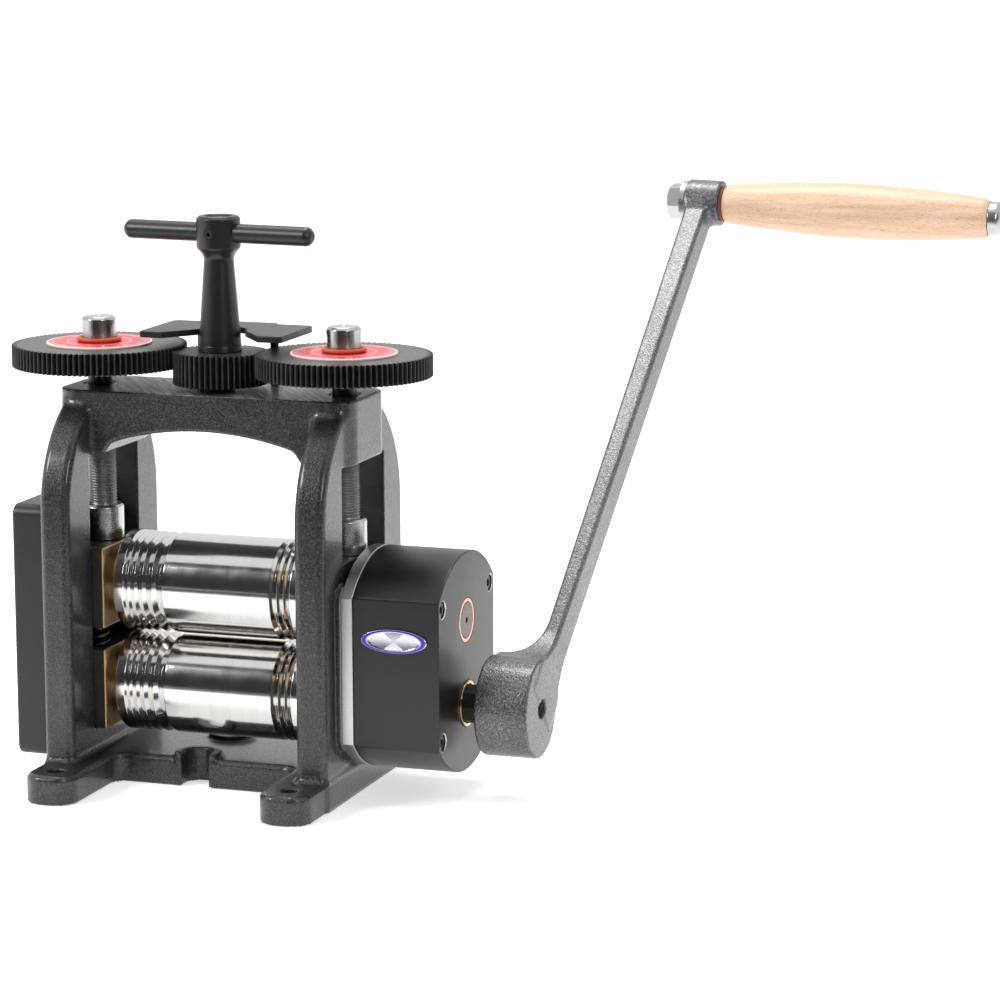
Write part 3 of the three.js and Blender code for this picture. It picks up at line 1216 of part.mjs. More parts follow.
function handleRod() {
  const dome = arc(0, 0, 1, 0, Math.PI / 2, 3).slice(0, -1).map(([side, rise]) => [
    ROD_HEAD_START + ROD_HEAD_RIM + ROD_HEAD_DOME * rise,
    ROD_HEAD_RADIUS * side,
  ]);
  return turned([
    [NUT_START - ROD_TAIL, ROD_RADIUS - 1],
    [NUT_START - ROD_TAIL + 1, ROD_RADIUS],
    [ROD_HEAD_START, ROD_RADIUS],
    [ROD_HEAD_START, ROD_HEAD_RADIUS],
    ...dome,
    [ROD_HEAD_START + ROD_HEAD_RIM + ROD_HEAD_DOME, 0],
  ], { axis: 'x' });
}

function handleNut() {
  const corner = NUT_ACROSS_FLATS / 2 / Math.cos(Math.PI / 6);
  const hexagon = rod(NUT_START, NUT_START + NUT_HEIGHT, corner, { axis: 'x', round: 6 });
  const bore = drill(NUT_START - 1, NUT_START + NUT_HEIGHT + 1, ROD_RADIUS + PRESS_FIT,
    { axis: 'x' });
  return cut(hexagon, bore);
}

function handleWasher() {
  return sleeve(WASHER_START, WASHER_START + WASHER_THICKNESS, WASHER_RADIUS,
    ROD_RADIUS + RUNNING_FIT, { axis: 'x' });
}

function fibreWasher() {
  return sleeve(FIBRE_START, FIBRE_START + FIBRE_THICKNESS, FIBRE_RADIUS,
    ROD_RADIUS + RUNNING_FIT, { axis: 'x' });
}

// The turned wooden grip, swelling past its middle.
function handleGrip() {
  const step = GRIP_LENGTH / (GRIP_RADII.length - 1);
  const curve = new THREE.CatmullRomCurve3(
    GRIP_RADII.map((radius, i) => new THREE.Vector3(GRIP_START + i * step, radius, 0)),
  );
  const skin = curve.getPoints(8).map((point) => [point.x, point.y]);
  const bore = (ROD_RADIUS + RUNNING_FIT) / Math.cos(Math.PI / MEDIUM_ROUND);
  return turned([
    [GRIP_START + GRIP_LENGTH, bore],
    [GRIP_START, bore],
    [GRIP_START, GRIP_RADII[0] - 1],
    [GRIP_START + 1, GRIP_RADII[0]],
    ...skin.slice(1, -1),
    [GRIP_START + GRIP_LENGTH - 1, GRIP_RADII.at(-1)],
    [GRIP_START + GRIP_LENGTH, GRIP_RADII.at(-1) - 1],
  ], { axis: 'x', ring: true });
}

const mill = new THREE.Group();

// Adds one named piece, with a material of its own, to a group.
function piece(group, name, geometry, finish) {
  const clean = toGeometry(toSolid(geometry));
  clean.computeVertexNormals();
  const mesh = new THREE.Mesh(clean, new THREE.MeshStandardMaterial(FINISHES[finish]));
  mesh.name = name;
  group.add(mesh);
}

const SIDES = { left: -1, right: 1 };

function addFrame() {
  piece(mill, 'frame_casting', frameCasting(), 'hammertone');
  for (const [name, side] of Object.entries(SIDES)) {
    piece(mill, `lower_bearing_${name}`, bearingBlock(side, LOWER_AXIS_Z, 1), 'bronze');
    piece(mill, `upper_bearing_${name}`, bearingBlock(side, UPPER_AXIS_Z, -1), 'bronze');
    piece(mill, `spring_${name}_front`, liftingSpring(side, -1), 'springSteel');
    piece(mill, `spring_${name}_back`, liftingSpring(side, 1), 'springSteel');
  }
}

function addRolls() {
  piece(mill, 'lower_roll', lowerRoll(), 'polishedSteel');
  piece(mill, 'upper_roll', upperRoll(), 'polishedSteel');
  const halfTooth = Math.PI / ROLL_GEAR_TEETH;
  piece(mill, 'lower_roll_gear', rollGear(LOWER_AXIS_Z, Math.PI / 2), 'brushedSteel');
  piece(mill, 'upper_roll_gear', rollGear(UPPER_AXIS_Z, -Math.PI / 2 + halfTooth), 'brushedSteel');
  piece(mill, 'lower_gear_screw', endScrew(LOWER_AXIS_Z), 'blackOxide');
  piece(mill, 'upper_gear_screw', endScrew(UPPER_AXIS_Z), 'blackOxide');
}

function addCover() {
  piece(mill, 'left_cover', leftCover(), 'blackPaint');
  COVER_SCREWS.forEach(([y, z], i) => {
    const screw = capScrew(COVER_SCREW_FACE, COVER_SCREW_TIP, -1, y, z);
    piece(mill, `cover_screw_${i + 1}`, screw, 'blackOxide');
  });
}

function addGearbox() {
  piece(mill, 'gearbox_backplate', gearboxBackplate(), 'aluminium');
  piece(mill, 'gearbox_housing', gearboxHousing(), 'blackPaint');
  GEARBOX_SCREWS.forEach(([y, z], i) => {
    const screw = capScrew(GEARBOX_SCREW_FACE, GEARBOX_SCREW_TIP, 1, y, z);
    piece(mill, `gearbox_screw_${i + 1}`, screw, 'blackOxide');
  });
  const lower = { axis: 'x', at: [0, 0, LOWER_AXIS_Z] };
  const counter = { axis: 'x', at: [0, 0, COUNTER_AXIS_Z] };
  piece(mill, 'crank_bush', sleeve(HOUSING_WALL_X, HOUSING_END_X + CRANK_BUSH_PROUD,
    CRANK_BUSH_RADIUS, CRANK_SHAFT_RADIUS + RUNNING_FIT, lower), 'bronze');
  piece(mill, 'counter_bush_outer', sleeve(HOUSING_WALL_X, HOUSING_END_X,
    COUNTER_BUSH_RADIUS, COUNTER_END_RADIUS + RUNNING_FIT, counter), 'copper');
  piece(mill, 'counter_bush_inner', sleeve(BACKPLATE_X, BACKPLATE_X + BACKPLATE_THICKNESS,
    COUNTER_TAIL_BUSH_RADIUS, COUNTER_TAIL_RADIUS + RUNNING_FIT, counter), 'bronze');
  piece(mill, 'badge_plate', badgePlate(), 'chrome');
  piece(mill, 'output_gear', trainGear(OUTPUT_GEAR_TEETH, OUTPUT_GEAR_X, OUTPUT_GEAR_END_X,
    LOWER_AXIS_Z, Math.PI / 2 + Math.PI / OUTPUT_GEAR_TEETH, GEAR_SEAT_RADIUS + PRESS_FIT),
  'brushedSteel');
  piece(mill, 'counter_shaft', counterShaft(), 'brushedSteel');
  piece(mill, 'counter_gear', trainGear(COUNTER_GEAR_TEETH, COUNTER_GEAR_X, COUNTER_GEAR_END_X,
    COUNTER_AXIS_Z, -Math.PI / 2 + Math.PI / COUNTER_GEAR_TEETH, GEAR_SEAT_RADIUS + PRESS_FIT),
  'brushedSteel');
}

function addScrewdown() {
  for (const [name, side] of Object.entries(SIDES)) {
    piece(mill, `screw_foot_${name}`, screwFoot(side), 'brushedSteel');
    piece(mill, `pressure_screw_${name}`, pressureScrew(side), 'brushedSteel');
    piece(mill, `dial_gear_${name}`, dialGear(side), 'blackOxide');
    piece(mill, `dial_label_${name}`, dialLabel(side), 'redLabel');
    piece(mill, `dial_oring_${name}`, dialOring(side), 'redRubber');
    piece(mill, `dial_cap_${name}`, dialCap(side), 'brushedSteel');
    piece(mill, `index_post_${name}`, indexPost(side), 'blackOxide');
  }
  piece(mill, 'index_plate', indexPlate(), 'blackOxide');
  piece(mill, 'pinion_gear', pinionGear(), 'blackOxide');
  const tee = new THREE.Group();
  tee.rotation.z = THREE.MathUtils.degToRad(TEE_BAR_TURN_DEG);
  piece(tee, 'tee_stem', teeStem(), 'blackOxide');
  piece(tee, 'tee_bar', teeBar(), 'blackOxide');
  piece(tee, 'tee_grub_screw', teeGrubScrew(), 'blackOxide');
  mill.add(tee);
}

function addCrank() {
  piece(mill, 'crank_shaft', crankShaft(), 'blackOxide');
  const crank = new THREE.Group();
  crank.position.z = LOWER_AXIS_Z;
  crank.rotation.x = -THREE.MathUtils.degToRad(CRANK_LEAN_DEG);
  piece(crank, 'crank_arm', crankArm(), 'silverHammertone');
  piece(crank, 'crank_bolt', crankBolt(), 'blackOxide');
  const handle = new THREE.Group();
  handle.position.set(
    HUB_END_X + CRANK_REACH * Math.sin(SPLAY),
    0,
    CRANK_REACH * Math.cos(SPLAY),
  );
  handle.rotation.y = SPLAY;
  piece(handle, 'handle_rod', handleRod(), 'brushedSteel');
  piece(handle, 'handle_nut', handleNut(), 'zincPlate');
  piece(handle, 'handle_washer', handleWasher(), 'zincPlate');
  piece(handle, 'fibre_washer', fibreWasher(), 'redFibre');
  piece(handle, 'handle_grip', handleGrip(), 'beech');
  crank.add(handle);
  mill.add(crank);
}

addFrame();
addRolls();
addCover();
addGearbox();
addScrewdown();
addCrank();

export default mill;
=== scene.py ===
import logging
import math
from collections.abc import Callable, Sequence
from dataclasses import dataclass
from enum import Enum

import bmesh
import bpy
import numpy as np
from mathutils import Matrix, Vector


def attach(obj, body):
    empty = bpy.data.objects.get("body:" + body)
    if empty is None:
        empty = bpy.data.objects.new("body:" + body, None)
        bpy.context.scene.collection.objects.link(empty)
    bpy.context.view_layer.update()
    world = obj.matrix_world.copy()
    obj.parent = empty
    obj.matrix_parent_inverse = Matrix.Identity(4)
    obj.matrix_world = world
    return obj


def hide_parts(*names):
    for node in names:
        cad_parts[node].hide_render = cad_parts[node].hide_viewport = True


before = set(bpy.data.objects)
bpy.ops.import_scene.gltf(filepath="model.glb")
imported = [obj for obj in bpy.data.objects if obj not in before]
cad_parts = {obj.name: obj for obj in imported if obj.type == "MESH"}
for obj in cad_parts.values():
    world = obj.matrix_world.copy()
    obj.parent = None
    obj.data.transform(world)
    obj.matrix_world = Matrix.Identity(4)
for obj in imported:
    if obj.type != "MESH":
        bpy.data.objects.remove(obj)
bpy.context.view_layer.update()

MM = 0.001
FAR = 200.0
WELD = 1e-7
COPY_WELD = 1e-6
log = logging.getLogger("rolling_mill")

Pair = tuple[float, float]
Triple = tuple[float, float, float]
Quad = tuple[float, float, float, float]
Colour = Triple
Profile = Sequence[Sequence[float]]
Mesh = bpy.types.Mesh
Socket = bpy.types.NodeSocket
Material = bpy.types.Material


class Axis(Enum):
    """The axis that a turned piece is made round, or a plate is cut along."""

    X = 0
    Y = 1
    Z = 2

    def others(self) -> tuple[int, ...]:
        """The numbers of the two other axes."""
        return tuple(i for i in range(3) if i != self.value)


def arithmetic(operation: str, flipped: bool = False) -> Callable[..., "Value"]:
    """Makes an operator of Value from a Math node, with the other operand first if flipped."""
    def operator(self: "Value", other: "Value | float") -> "Value":
        """Adds the node over both operands."""
        operands = (other, self) if flipped else (self, other)
        return self.shader.math(operation, *operands)
    return operator


class Value:
    """A number that varies over a surface: a shader socket that takes arithmetic."""

    def __init__(self, shader: "Shader", socket: Socket) -> None:
        """Wraps one socket of a shader's tree."""
        self.shader = shader
        self.socket = socket

    def __neg__(self) -> "Value":
        """The number with its sign turned."""
        return self.shader.math("MULTIPLY", self, -1.0)

    def __abs__(self) -> "Value":
        """The number without its sign."""
        return self.shader.math("ABSOLUTE", self)

    __add__, __radd__ = arithmetic("ADD"), arithmetic("ADD", flipped=True)
    __sub__, __rsub__ = arithmetic("SUBTRACT"), arithmetic("SUBTRACT", flipped=True)
    __mul__, __rmul__ = arithmetic("MULTIPLY"), arithmetic("MULTIPLY", flipped=True)
    __truediv__, __rtruediv__ = arithmetic("DIVIDE"), arithmetic("DIVIDE", flipped=True)
    __pow__ = arithmetic("POWER")

    def clamped(self) -> "Value":
        """The number held between 0 and 1."""
        self.socket.node.use_clamp = True
        return self

    def above(self, edge: float, soft: float = 0.0) -> "Value":
        """0 below an edge and 1 above it, rising over a width of `soft` about it."""
        if soft <= 0:
            return self.shader.math("GREATER_THAN", self, edge)
        return ((self - (edge - soft / 2)) / soft).clamped()

    def below(self, edge: float, soft: float = 0.0) -> "Value":
        """1 below an edge and 0 above it."""
        return 1 - self.above(edge, soft)

    def wrapped(self, period: float) -> "Value":
        """The distance to the nearest whole multiple of a period."""
        return self.shader.math("PINGPONG", self, period / 2)


class Nodes:
    """A node tree that is written as calls."""

    def __init__(self, tree: bpy.types.NodeTree) -> None:
        """Empties the tree."""
        self.tree = tree
        tree.nodes.clear()

    def node(self, kind: str, settings: dict | None = None,
             inputs: dict | None = None) -> bpy.types.Node:
        """Adds a node.

        Args:
            kind: The node's type.
            settings: Its own settings, set first.
            inputs: What its sockets get, by name or place: Values, sockets, numbers, colours.

        Returns:
            The node.
        """
        made = self.tree.nodes.new(kind)
        for name, setting in (settings or {}).items():
            setattr(made, name, setting)
        for key, value in (inputs or {}).items():
            socket = made.inputs[key]
            source = value.socket if isinstance(value, Value) else value
            if isinstance(source, Socket):
                self.tree.links.new(source, socket)
            elif socket.type == "RGBA" and len(source) == 3:
                socket.default_value = (*source, 1.0)
            else:
                socket.default_value = source
        return made


class Shader(Nodes):
    """One material's node tree on Object coordinates, counted in millimetres."""

    def __init__(self, name: str) -> None:
        """Starts an empty material of the given name."""
        self.material = bpy.data.materials.new(name)
        self.material.use_nodes = True
        super().__init__(self.material.node_tree)
        place = self.node("ShaderNodeTexCoord").outputs["Object"]
        self.place = self.divided(place, (MM, MM, MM))
        parts = self.node("ShaderNodeSeparateXYZ", {}, {0: self.place}).outputs
        self.parts = tuple(Value(self, part) for part in parts)
        self.x, self.y, self.z = self.parts

    def math(self, operation: str, *operands: Value | float) -> Value:
        """Adds one Math node over its operands and gives its result."""
        made = self.node("ShaderNodeMath", {"operation": operation}, dict(enumerate(operands)))
        return Value(self, made.outputs[0])

    def vector(self, x: Value | float, y: Value | float, z: Value | float) -> Socket:
        """A vector of three numbers."""
        return self.node("ShaderNodeCombineXYZ", {}, {0: x, 1: y, 2: z}).outputs[0]

    def divided(self, place: Socket, sizes: Sequence[float]) -> Socket:
        """A place counted in units of the given sizes."""
        return self.node("ShaderNodeVectorMath", {"operation": "MULTIPLY"},
                         {0: place, 1: tuple(1 / size for size in sizes)}).outputs[0]

    def noise(self, grain: float, detail: float = 2.0, stretch: Triple = (1, 1, 1),
              at: Socket | None = None) -> Value:
        """Soft noise.

        Args:
            grain: The size of its blotches, mm.
            detail: How many finer layers it has.
            stretch: How many times longer its blotches are along X, Y and Z.
            at: The place that it reads, in mm; the surface's own without it.

        Returns:
            A number about 0.5.
        """
        vector = self.divided(at or self.place, [grain * factor for factor in stretch])
        made = self.node("ShaderNodeTexNoise", {}, {
            "Vector": vector, "Scale": 1.0, "Detail": detail, "Roughness": 0.55})
        return Value(self, made.outputs[0])

    def cells(self, grain: float) -> Value:
        """The softened distance to the points of a pattern whose cells are `grain` mm wide."""
        made = self.node("ShaderNodeTexVoronoi", {"feature": "SMOOTH_F1"},
                         {"Vector": self.divided(self.place, (grain,) * 3), "Scale": 1.0})
        return Value(self, made.outputs["Distance"])

    def radius(self, axis: Axis, centre: Pair) -> Value:
        """The distance in mm from a line along an axis, at a centre on the two others."""
        a, b = (self.parts[i] for i in axis.others())
        return ((a - centre[0]) ** 2 + (b - centre[1]) ** 2) ** 0.5

    def blend(self, factor: Value, low: object, high: object) -> Socket:
        """Mixes two colours: the first where the factor is 0 and the second where it is 1."""
        made = self.node("ShaderNodeMix", {"data_type": "RGBA"}, {0: factor, 6: low, 7: high})
        return made.outputs[2]

    def ramp(self, factor: Value, stops: Sequence[tuple[float, Colour]]) -> Socket:
        """The colour at a number.

        Args:
            factor: The number.
            stops: Places with their colours, at least two.

        Returns:
            The colour's socket.
        """
        made = self.node("ShaderNodeValToRGB", {}, {0: factor})
        elements = made.color_ramp.elements
        for i, (position, colour) in enumerate(stops):
            stop = elements[i] if i < 2 else elements.new(position)
            stop.position = position
            stop.color = (*colour, 1.0)
        return made.outputs[0]

    def bump(self, height: Value, depth: float) -> Socket:
        """The normal over a relief whose height of 1 stands for `depth` mm."""
        made = self.node("ShaderNodeBump", {}, {
            "Strength": 1.0, "Distance": depth * MM, "Height": height})
        return made.outputs[0]

    def finish(self, **inputs: object) -> Material:
        """Ends the tree in a Principled shader.

        Args:
            **inputs: Its sockets, with their spaces written as low lines.

        Returns:
            The material.
        """
        named = {name.replace("_", " "): value for name, value in inputs.items()}
        shader = self.node("ShaderNodeBsdfPrincipled", {}, named)
        self.node("ShaderNodeOutputMaterial", {}, {"Surface": shader.outputs[0]})
        return self.material


class Solid:
    """A solid given by the signed distance to its surface, in mm, negative inside."""

    def __init__(self, distance: Callable[[np.ndarray], np.ndarray]) -> None:
        """Wraps a function from an array of places to their distances."""
        self.distance = distance

    def inverted(self) -> "Solid":
        """All that lies outside the solid."""
        return Solid(lambda place: -self.distance(place))

    def common(self, other: "Solid", edge: float = 0.0) -> "Solid":
        """What lies in both solids, with the edge between them rounded."""
        def crossing(place: np.ndarray) -> np.ndarray:
            """The distance to the further one, rounded on the edge."""
            a, b = self.distance(place), other.distance(place)
            if edge <= 0:
                return np.maximum(a, b)
            corner = np.hypot(np.maximum(edge + a, 0), np.maximum(edge + b, 0))
            return np.minimum(-edge, np.maximum(a, b)) + corner
        return Solid(crossing)

    def joined(self, other: "Solid", fillet: float = 0.0) -> "Solid":
        """Both solids, with a fillet of the given radius where they meet."""
        return self.inverted().common(other.inverted(), fillet).inverted()

    def without(self, other: "Solid", edge: float = 0.0) -> "Solid":
        """This solid less another, with the edge between them rounded."""
        return self.common(other.inverted(), edge)

    def mirrored(self, *axes: Axis) -> "Solid":
        """What the solid has on the positive side of some axes, on both their sides."""
        signs = [axis.value for axis in axes]

        def folded(place: np.ndarray) -> np.ndarray:
            """The distance from the place's image on the positive side."""
            image = place.copy()
            image[:, signs] = np.abs(image[:, signs])
            return self.distance(image)
        return Solid(folded)

    def moved(self, place: Matrix) -> "Solid":
        """The solid carried by a matrix, in mm."""
        return Solid(lambda p: self.distance(turned_by(p, place.inverted())))


def below(axis: Axis, at: float) -> Solid:
    """All that lies below a plane across an axis."""
    return Solid(lambda p: p[:, axis.value] - at)


def over(axis: Axis, at: float) -> Solid:
    """All that lies over a plane across an axis."""
    return below(axis, at).inverted()


def slab(axis: Axis, low: float, high: float) -> Solid:
    """All that lies between two planes across an axis."""
    return Solid(lambda p: np.abs(p[:, axis.value] - (low + high) / 2) - (high - low) / 2)


def box(low: Triple, high: Triple) -> Solid:
    """A block between two corners."""
    middle = (np.array(low) + np.array(high)) / 2
    half = (np.array(high) - np.array(low)) / 2

    def distance(place: np.ndarray) -> np.ndarray:
        """The exact distance to the block."""
        out = np.abs(place - middle) - half
        return np.linalg.norm(np.maximum(out, 0), axis=1) + np.minimum(out.max(axis=1), 0)
    return Solid(distance)


def bar(axis: Axis, half: Pair, corner: float = 0.0, centre: Pair = (0.0, 0.0)) -> Solid:
    """An endless bar along an axis, its section a rectangle with rounded corners.

    Args:
        axis: Its direction.
        half: Its half sizes on the two other axes, mm.
        corner: The radius of its corners, mm.
        centre: Its middle on those axes, mm.

    Returns:
        The solid.
    """
    a, b = axis.others()

    def distance(p: np.ndarray) -> np.ndarray:
        """The exact distance to the bar."""
        u = np.abs(p[:, a] - centre[0]) - half[0] + corner
        v = np.abs(p[:, b] - centre[1]) - half[1] + corner
        return (np.hypot(np.maximum(u, 0), np.maximum(v, 0))
                + np.minimum(np.maximum(u, v), 0) - corner)
    return Solid(distance)


def pillar(axis: Axis, radius: float, centre: Pair = (0.0, 0.0)) -> Solid:
    """An endless round bar along an axis."""
    a, b = axis.others()
    return Solid(lambda p: np.hypot(p[:, a] - centre[0], p[:, b] - centre[1]) - radius)


def rod_along_x(radius: float, low: float, high: float, edge: float = 0.0) -> Solid:
    """A round rod on the X axis, its ends' edges rounded."""
    return pillar(Axis.X, radius).common(slab(Axis.X, low, high), edge)


CORNERS = np.array([[i, j, k] for i in (0, 1) for j in (0, 1) for k in (0, 1)])
EDGES = [(a, b) for a in range(8) for b in range(a + 1, 8)
         if np.abs(CORNERS[a] - CORNERS[b]).sum() == 1]
SETTLING_STEPS = 4
SLOPE_STEP = 0.25
LEAST_SLOPE = 0.05
LEAST_LENGTH = 1e-6
STILL = Matrix.Identity(4)


def gradient(solid: Solid, place: np.ndarray) -> np.ndarray:
    """The slope of a solid's distance at some places, by central differences."""
    shifts = np.eye(3) * SLOPE_STEP
    return np.stack([(solid.distance(place + shift) - solid.distance(place - shift))
                     / (2 * SLOPE_STEP) for shift in shifts], axis=1)


def net_faces(inside: np.ndarray, index: np.ndarray) -> np.ndarray:
    """The quads of a surface net.

    Args:
        inside: Which points of the grid lie in the solid.
        index: The number of the vertex in each cell of the grid.

    Returns:
        The quads, one for each grid line that the surface crosses.
    """
    quads = []
    for axis in range(3):
        u, v = np.roll(np.eye(3, dtype=int), -1 - axis, axis=0)[:2]
        here = np.take(inside, range(inside.shape[axis] - 1), axis)
        there = np.take(inside, range(1, inside.shape[axis]), axis)
        for leaving in (True, False):
            found = np.argwhere((here & ~there) if leaving else (~here & there))
            for across in (u, v):
                found = found[(found @ across > 0) & (found @ across < index.shape @ across)]
            ring = [index[tuple((found - du * u - dv * v).T)]
                    for du, dv in ((1, 1), (0, 1), (0, 0), (1, 0))]
            quads.append(np.stack(ring if leaving else ring[::-1], axis=1))
    return np.concatenate(quads)


def surface_net(solid: Solid, low: Triple, high: Triple, cell: float) -> tuple[np.ndarray, ...]:
    """Meshes a solid with one vertex in each grid cell that its surface crosses.

    Args:
        solid: The solid.
        low: The lowest corner of the grid, mm.
        high: The highest corner of the grid, mm.
        cell: The size of a grid cell, mm.

    Returns:
        The vertices in mm, the quads, and the surface's normal at each vertex.
    """
    lines = [np.arange(low[i] - cell, high[i] + 2 * cell, cell) for i in range(3)]
    shape = tuple(len(line) for line in lines)
    depth = np.empty(shape)
    for i, x in enumerate(lines[0]):
        y, z = np.meshgrid(lines[1], lines[2], indexing="ij")
        flat = np.stack([np.full(y.size, x), y.ravel(), z.ravel()], axis=1)
        depth[i] = solid.distance(flat).reshape(shape[1:])
    inside = depth < 0
    cells = tuple(n - 1 for n in shape)

    def shifted(grid: np.ndarray, corner: Sequence[int]) -> np.ndarray:
        """The grid's values at one corner of every cell."""
        return grid[tuple(slice(c, c + n) for c, n in zip(corner, cells))]

    full = sum(shifted(inside, corner).astype(np.int8) for corner in CORNERS)
    crossed = (full > 0) & (full < len(CORNERS))
    index = np.full(cells, -1)
    index[crossed] = np.arange(crossed.sum())
    values = np.stack([shifted(depth, corner)[crossed] for corner in CORNERS], axis=1)
    total = np.zeros((len(values), 3))
    count = np.zeros(len(values))
    for a, b in EDGES:
        hit = (values[:, a] < 0) != (values[:, b] < 0)
        share = values[hit, a] / (values[hit, a] - values[hit, b])
        total[hit] += CORNERS[a] + share[:, None] * (CORNERS[b] - CORNERS[a])
        count[hit] += 1
    start = np.array([line[0] for line in lines])
    place = start + cell * (np.argwhere(crossed) + total / count[:, None])
    for _ in range(SETTLING_STEPS):
        slope = gradient(solid, place)
        length = np.maximum((slope ** 2).sum(axis=1), LEAST_SLOPE)
        move = slope * (solid.distance(place) / length)[:, None]
        place -= np.clip(move, -cell / 2, cell / 2)
    slope = gradient(solid, place)
    normals = slope / np.maximum(np.linalg.norm(slope, axis=1), LEAST_LENGTH)[:, None]
    return place, net_faces(inside, index), normals


def link(name: str, data: bpy.types.ID) -> bpy.types.Object:
    """Makes an object of some data and adds it to the scene."""
    made = bpy.data.objects.new(name, data)
    bpy.context.scene.collection.objects.link(made)
    return made


def evaluated(holder: bpy.types.Object, all_layers: bool = False) -> Mesh:
    """An object's mesh after its modifiers; the object is used up.

    Args:
        holder: The object.
        all_layers: Whether the mesh keeps every data layer.

    Returns:
        The mesh.
    """
    bpy.context.view_layer.update()
    graph = bpy.context.evaluated_depsgraph_get()
    result = bpy.data.meshes.new_from_object(
        holder.evaluated_get(graph), preserve_all_data_layers=all_layers, depsgraph=graph)
    bpy.data.objects.remove(holder)
    return result


def add_piece(mesh: Mesh, name: str, body: str, finish: "Finish", *nodes: str) -> None:
    """Adds a mesh to the scene as a piece of the mill, in place of CAD nodes.

    Args:
        mesh: The mesh, in place and in metres.
        name: The piece's name.
        body: The body that it moves with.
        finish: Its finish.
        *nodes: The CAD nodes that it stands for.
    """
    mesh.name = name
    piece = link(name, mesh)
    mesh.materials.clear()
    mesh.materials.append(finish.material())
    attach(piece, body)
    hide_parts(*nodes)
    log.info("%s: %d faces on %s", name, len(mesh.polygons), body)


def scaled_place(place: Matrix) -> Matrix:
    """A placing matrix counted in mm, for a mesh in metres."""
    return Matrix.Scale(MM, 4) @ place @ Matrix.Scale(1 / MM, 4)


def turned_by(places: np.ndarray, turn: Matrix) -> np.ndarray:
    """Places in mm, carried by a matrix."""
    return places @ np.array(turn.to_3x3()).T + np.array(turn.translation)


def mesh_of(places: Sequence | np.ndarray, faces: Sequence | np.ndarray) -> Mesh:
    """Makes a smooth shaded mesh, in metres, from places in mm."""
    mesh = bpy.data.meshes.new("piece")
    mesh.from_pydata((np.asarray(places, dtype=float) * MM).tolist(), [],
                     [tuple(face) for face in faces])
    mesh.validate()
    mesh.polygons.foreach_set("use_smooth", [True] * len(mesh.polygons))
    mesh.update()
    return mesh


def casting(solid: Solid, low: Triple, high: Triple, cell: float,
            turn: Matrix = STILL) -> Mesh:
    """Meshes a cast solid with the normals of its true surface.

    Args:
        solid: The solid.
        low: The lowest corner of its box, mm.
        high: The highest corner of its box, mm.
        cell: The size of a grid cell, mm.
        turn: What turns the finished mesh into place, in mm.

    Returns:
        The mesh.
    """
    place, quads, normals = surface_net(solid, low, high, cell)
    mesh = mesh_of(turned_by(place, turn), quads)
    normals = turned_by(normals, turn.to_3x3().to_4x4())
    mesh.normals_split_custom_set_from_vertices(normals.tolist())
    return mesh


def shaded(mesh: Mesh, sharp: float) -> Mesh:
    """Smooths a mesh, its wide faces weighing most; the mesh is used up.

    Args:
        mesh: The mesh.
        sharp: The angle over which an edge stays sharp, in degrees.

    Returns:
        The mesh with its own normals.
    """
    mesh.polygons.foreach_set("use_smooth", [True] * len(mesh.polygons))
    mesh.set_sharp_from_angle(angle=math.radians(sharp))
    holder = link("shaded", mesh)
    holder.modifiers.new("normals", "WEIGHTED_NORMAL").keep_sharp = True
    result = evaluated(holder)
    bpy.data.meshes.remove(mesh)
    return result


def closed(mesh: Mesh, sharp: float) -> Mesh:
    """Merges a closed mesh's doubles, turns its faces outwards and shades it."""
    work = bmesh.new()
    work.from_mesh(mesh)
    bmesh.ops.remove_doubles(work, verts=work.verts, dist=WELD)
    bmesh.ops.recalc_face_normals(work, faces=work.faces)
    if work.calc_volume(signed=True) < 0:
        bmesh.ops.reverse_faces(work, faces=work.faces)
    work.to_mesh(mesh)
    work.free()
    return shaded(mesh, sharp)


def carved(mesh: Mesh, tool: Mesh) -> Mesh:
    """Cuts one mesh with another, and keeps the cut's edges sharp."""
    holder, cutter = link("cut", mesh), link("tool", tool)
    modifier = holder.modifiers.new("cut", "BOOLEAN")
    modifier.operation = "DIFFERENCE"
    modifier.solver = "EXACT"
    modifier.object = cutter
    result = evaluated(holder)
    bpy.data.objects.remove(cutter)
    result.materials.clear()
    return shaded(result, 30)


def skin(rings: np.ndarray, sharp: float, looped: bool = False) -> Mesh:
    """Stretches a closed mesh over rings of points.

    Args:
        rings: The points in mm: rings, points of a ring, and X, Y and Z.
        sharp: The angle over which an edge stays sharp, in degrees.
        looped: Whether the last ring joins the first, rather than both being filled.

    Returns:
        The mesh.
    """
    index = np.arange(rings.shape[0] * rings.shape[1]).reshape(rings.shape[:2])
    after = np.roll(index, -1, axis=1)
    quads = np.stack([index, after, np.roll(after, -1, axis=0), np.roll(index, -1, axis=0)], axis=-1)
    faces = (quads if looped else quads[:-1]).reshape(-1, 4).tolist()
    if not looped:
        faces += [index[0, ::-1].tolist(), index[-1].tolist()]
    return closed(mesh_of(rings.reshape(-1, 3), faces), sharp)


def round_angles(count: int) -> np.ndarray:
    """The angles of some points round a circle, in radians."""
    return 2 * np.pi * np.arange(count) / count


def bent(start: np.ndarray, corner: np.ndarray, end: np.ndarray, count: int) -> np.ndarray:
    """Points on the curve from a start to an end that a corner pulls on."""
    t = np.linspace(0, 1, count)[:, None]
    return start * (1 - t) ** 2 + corner * 2 * t * (1 - t) + end * t ** 2


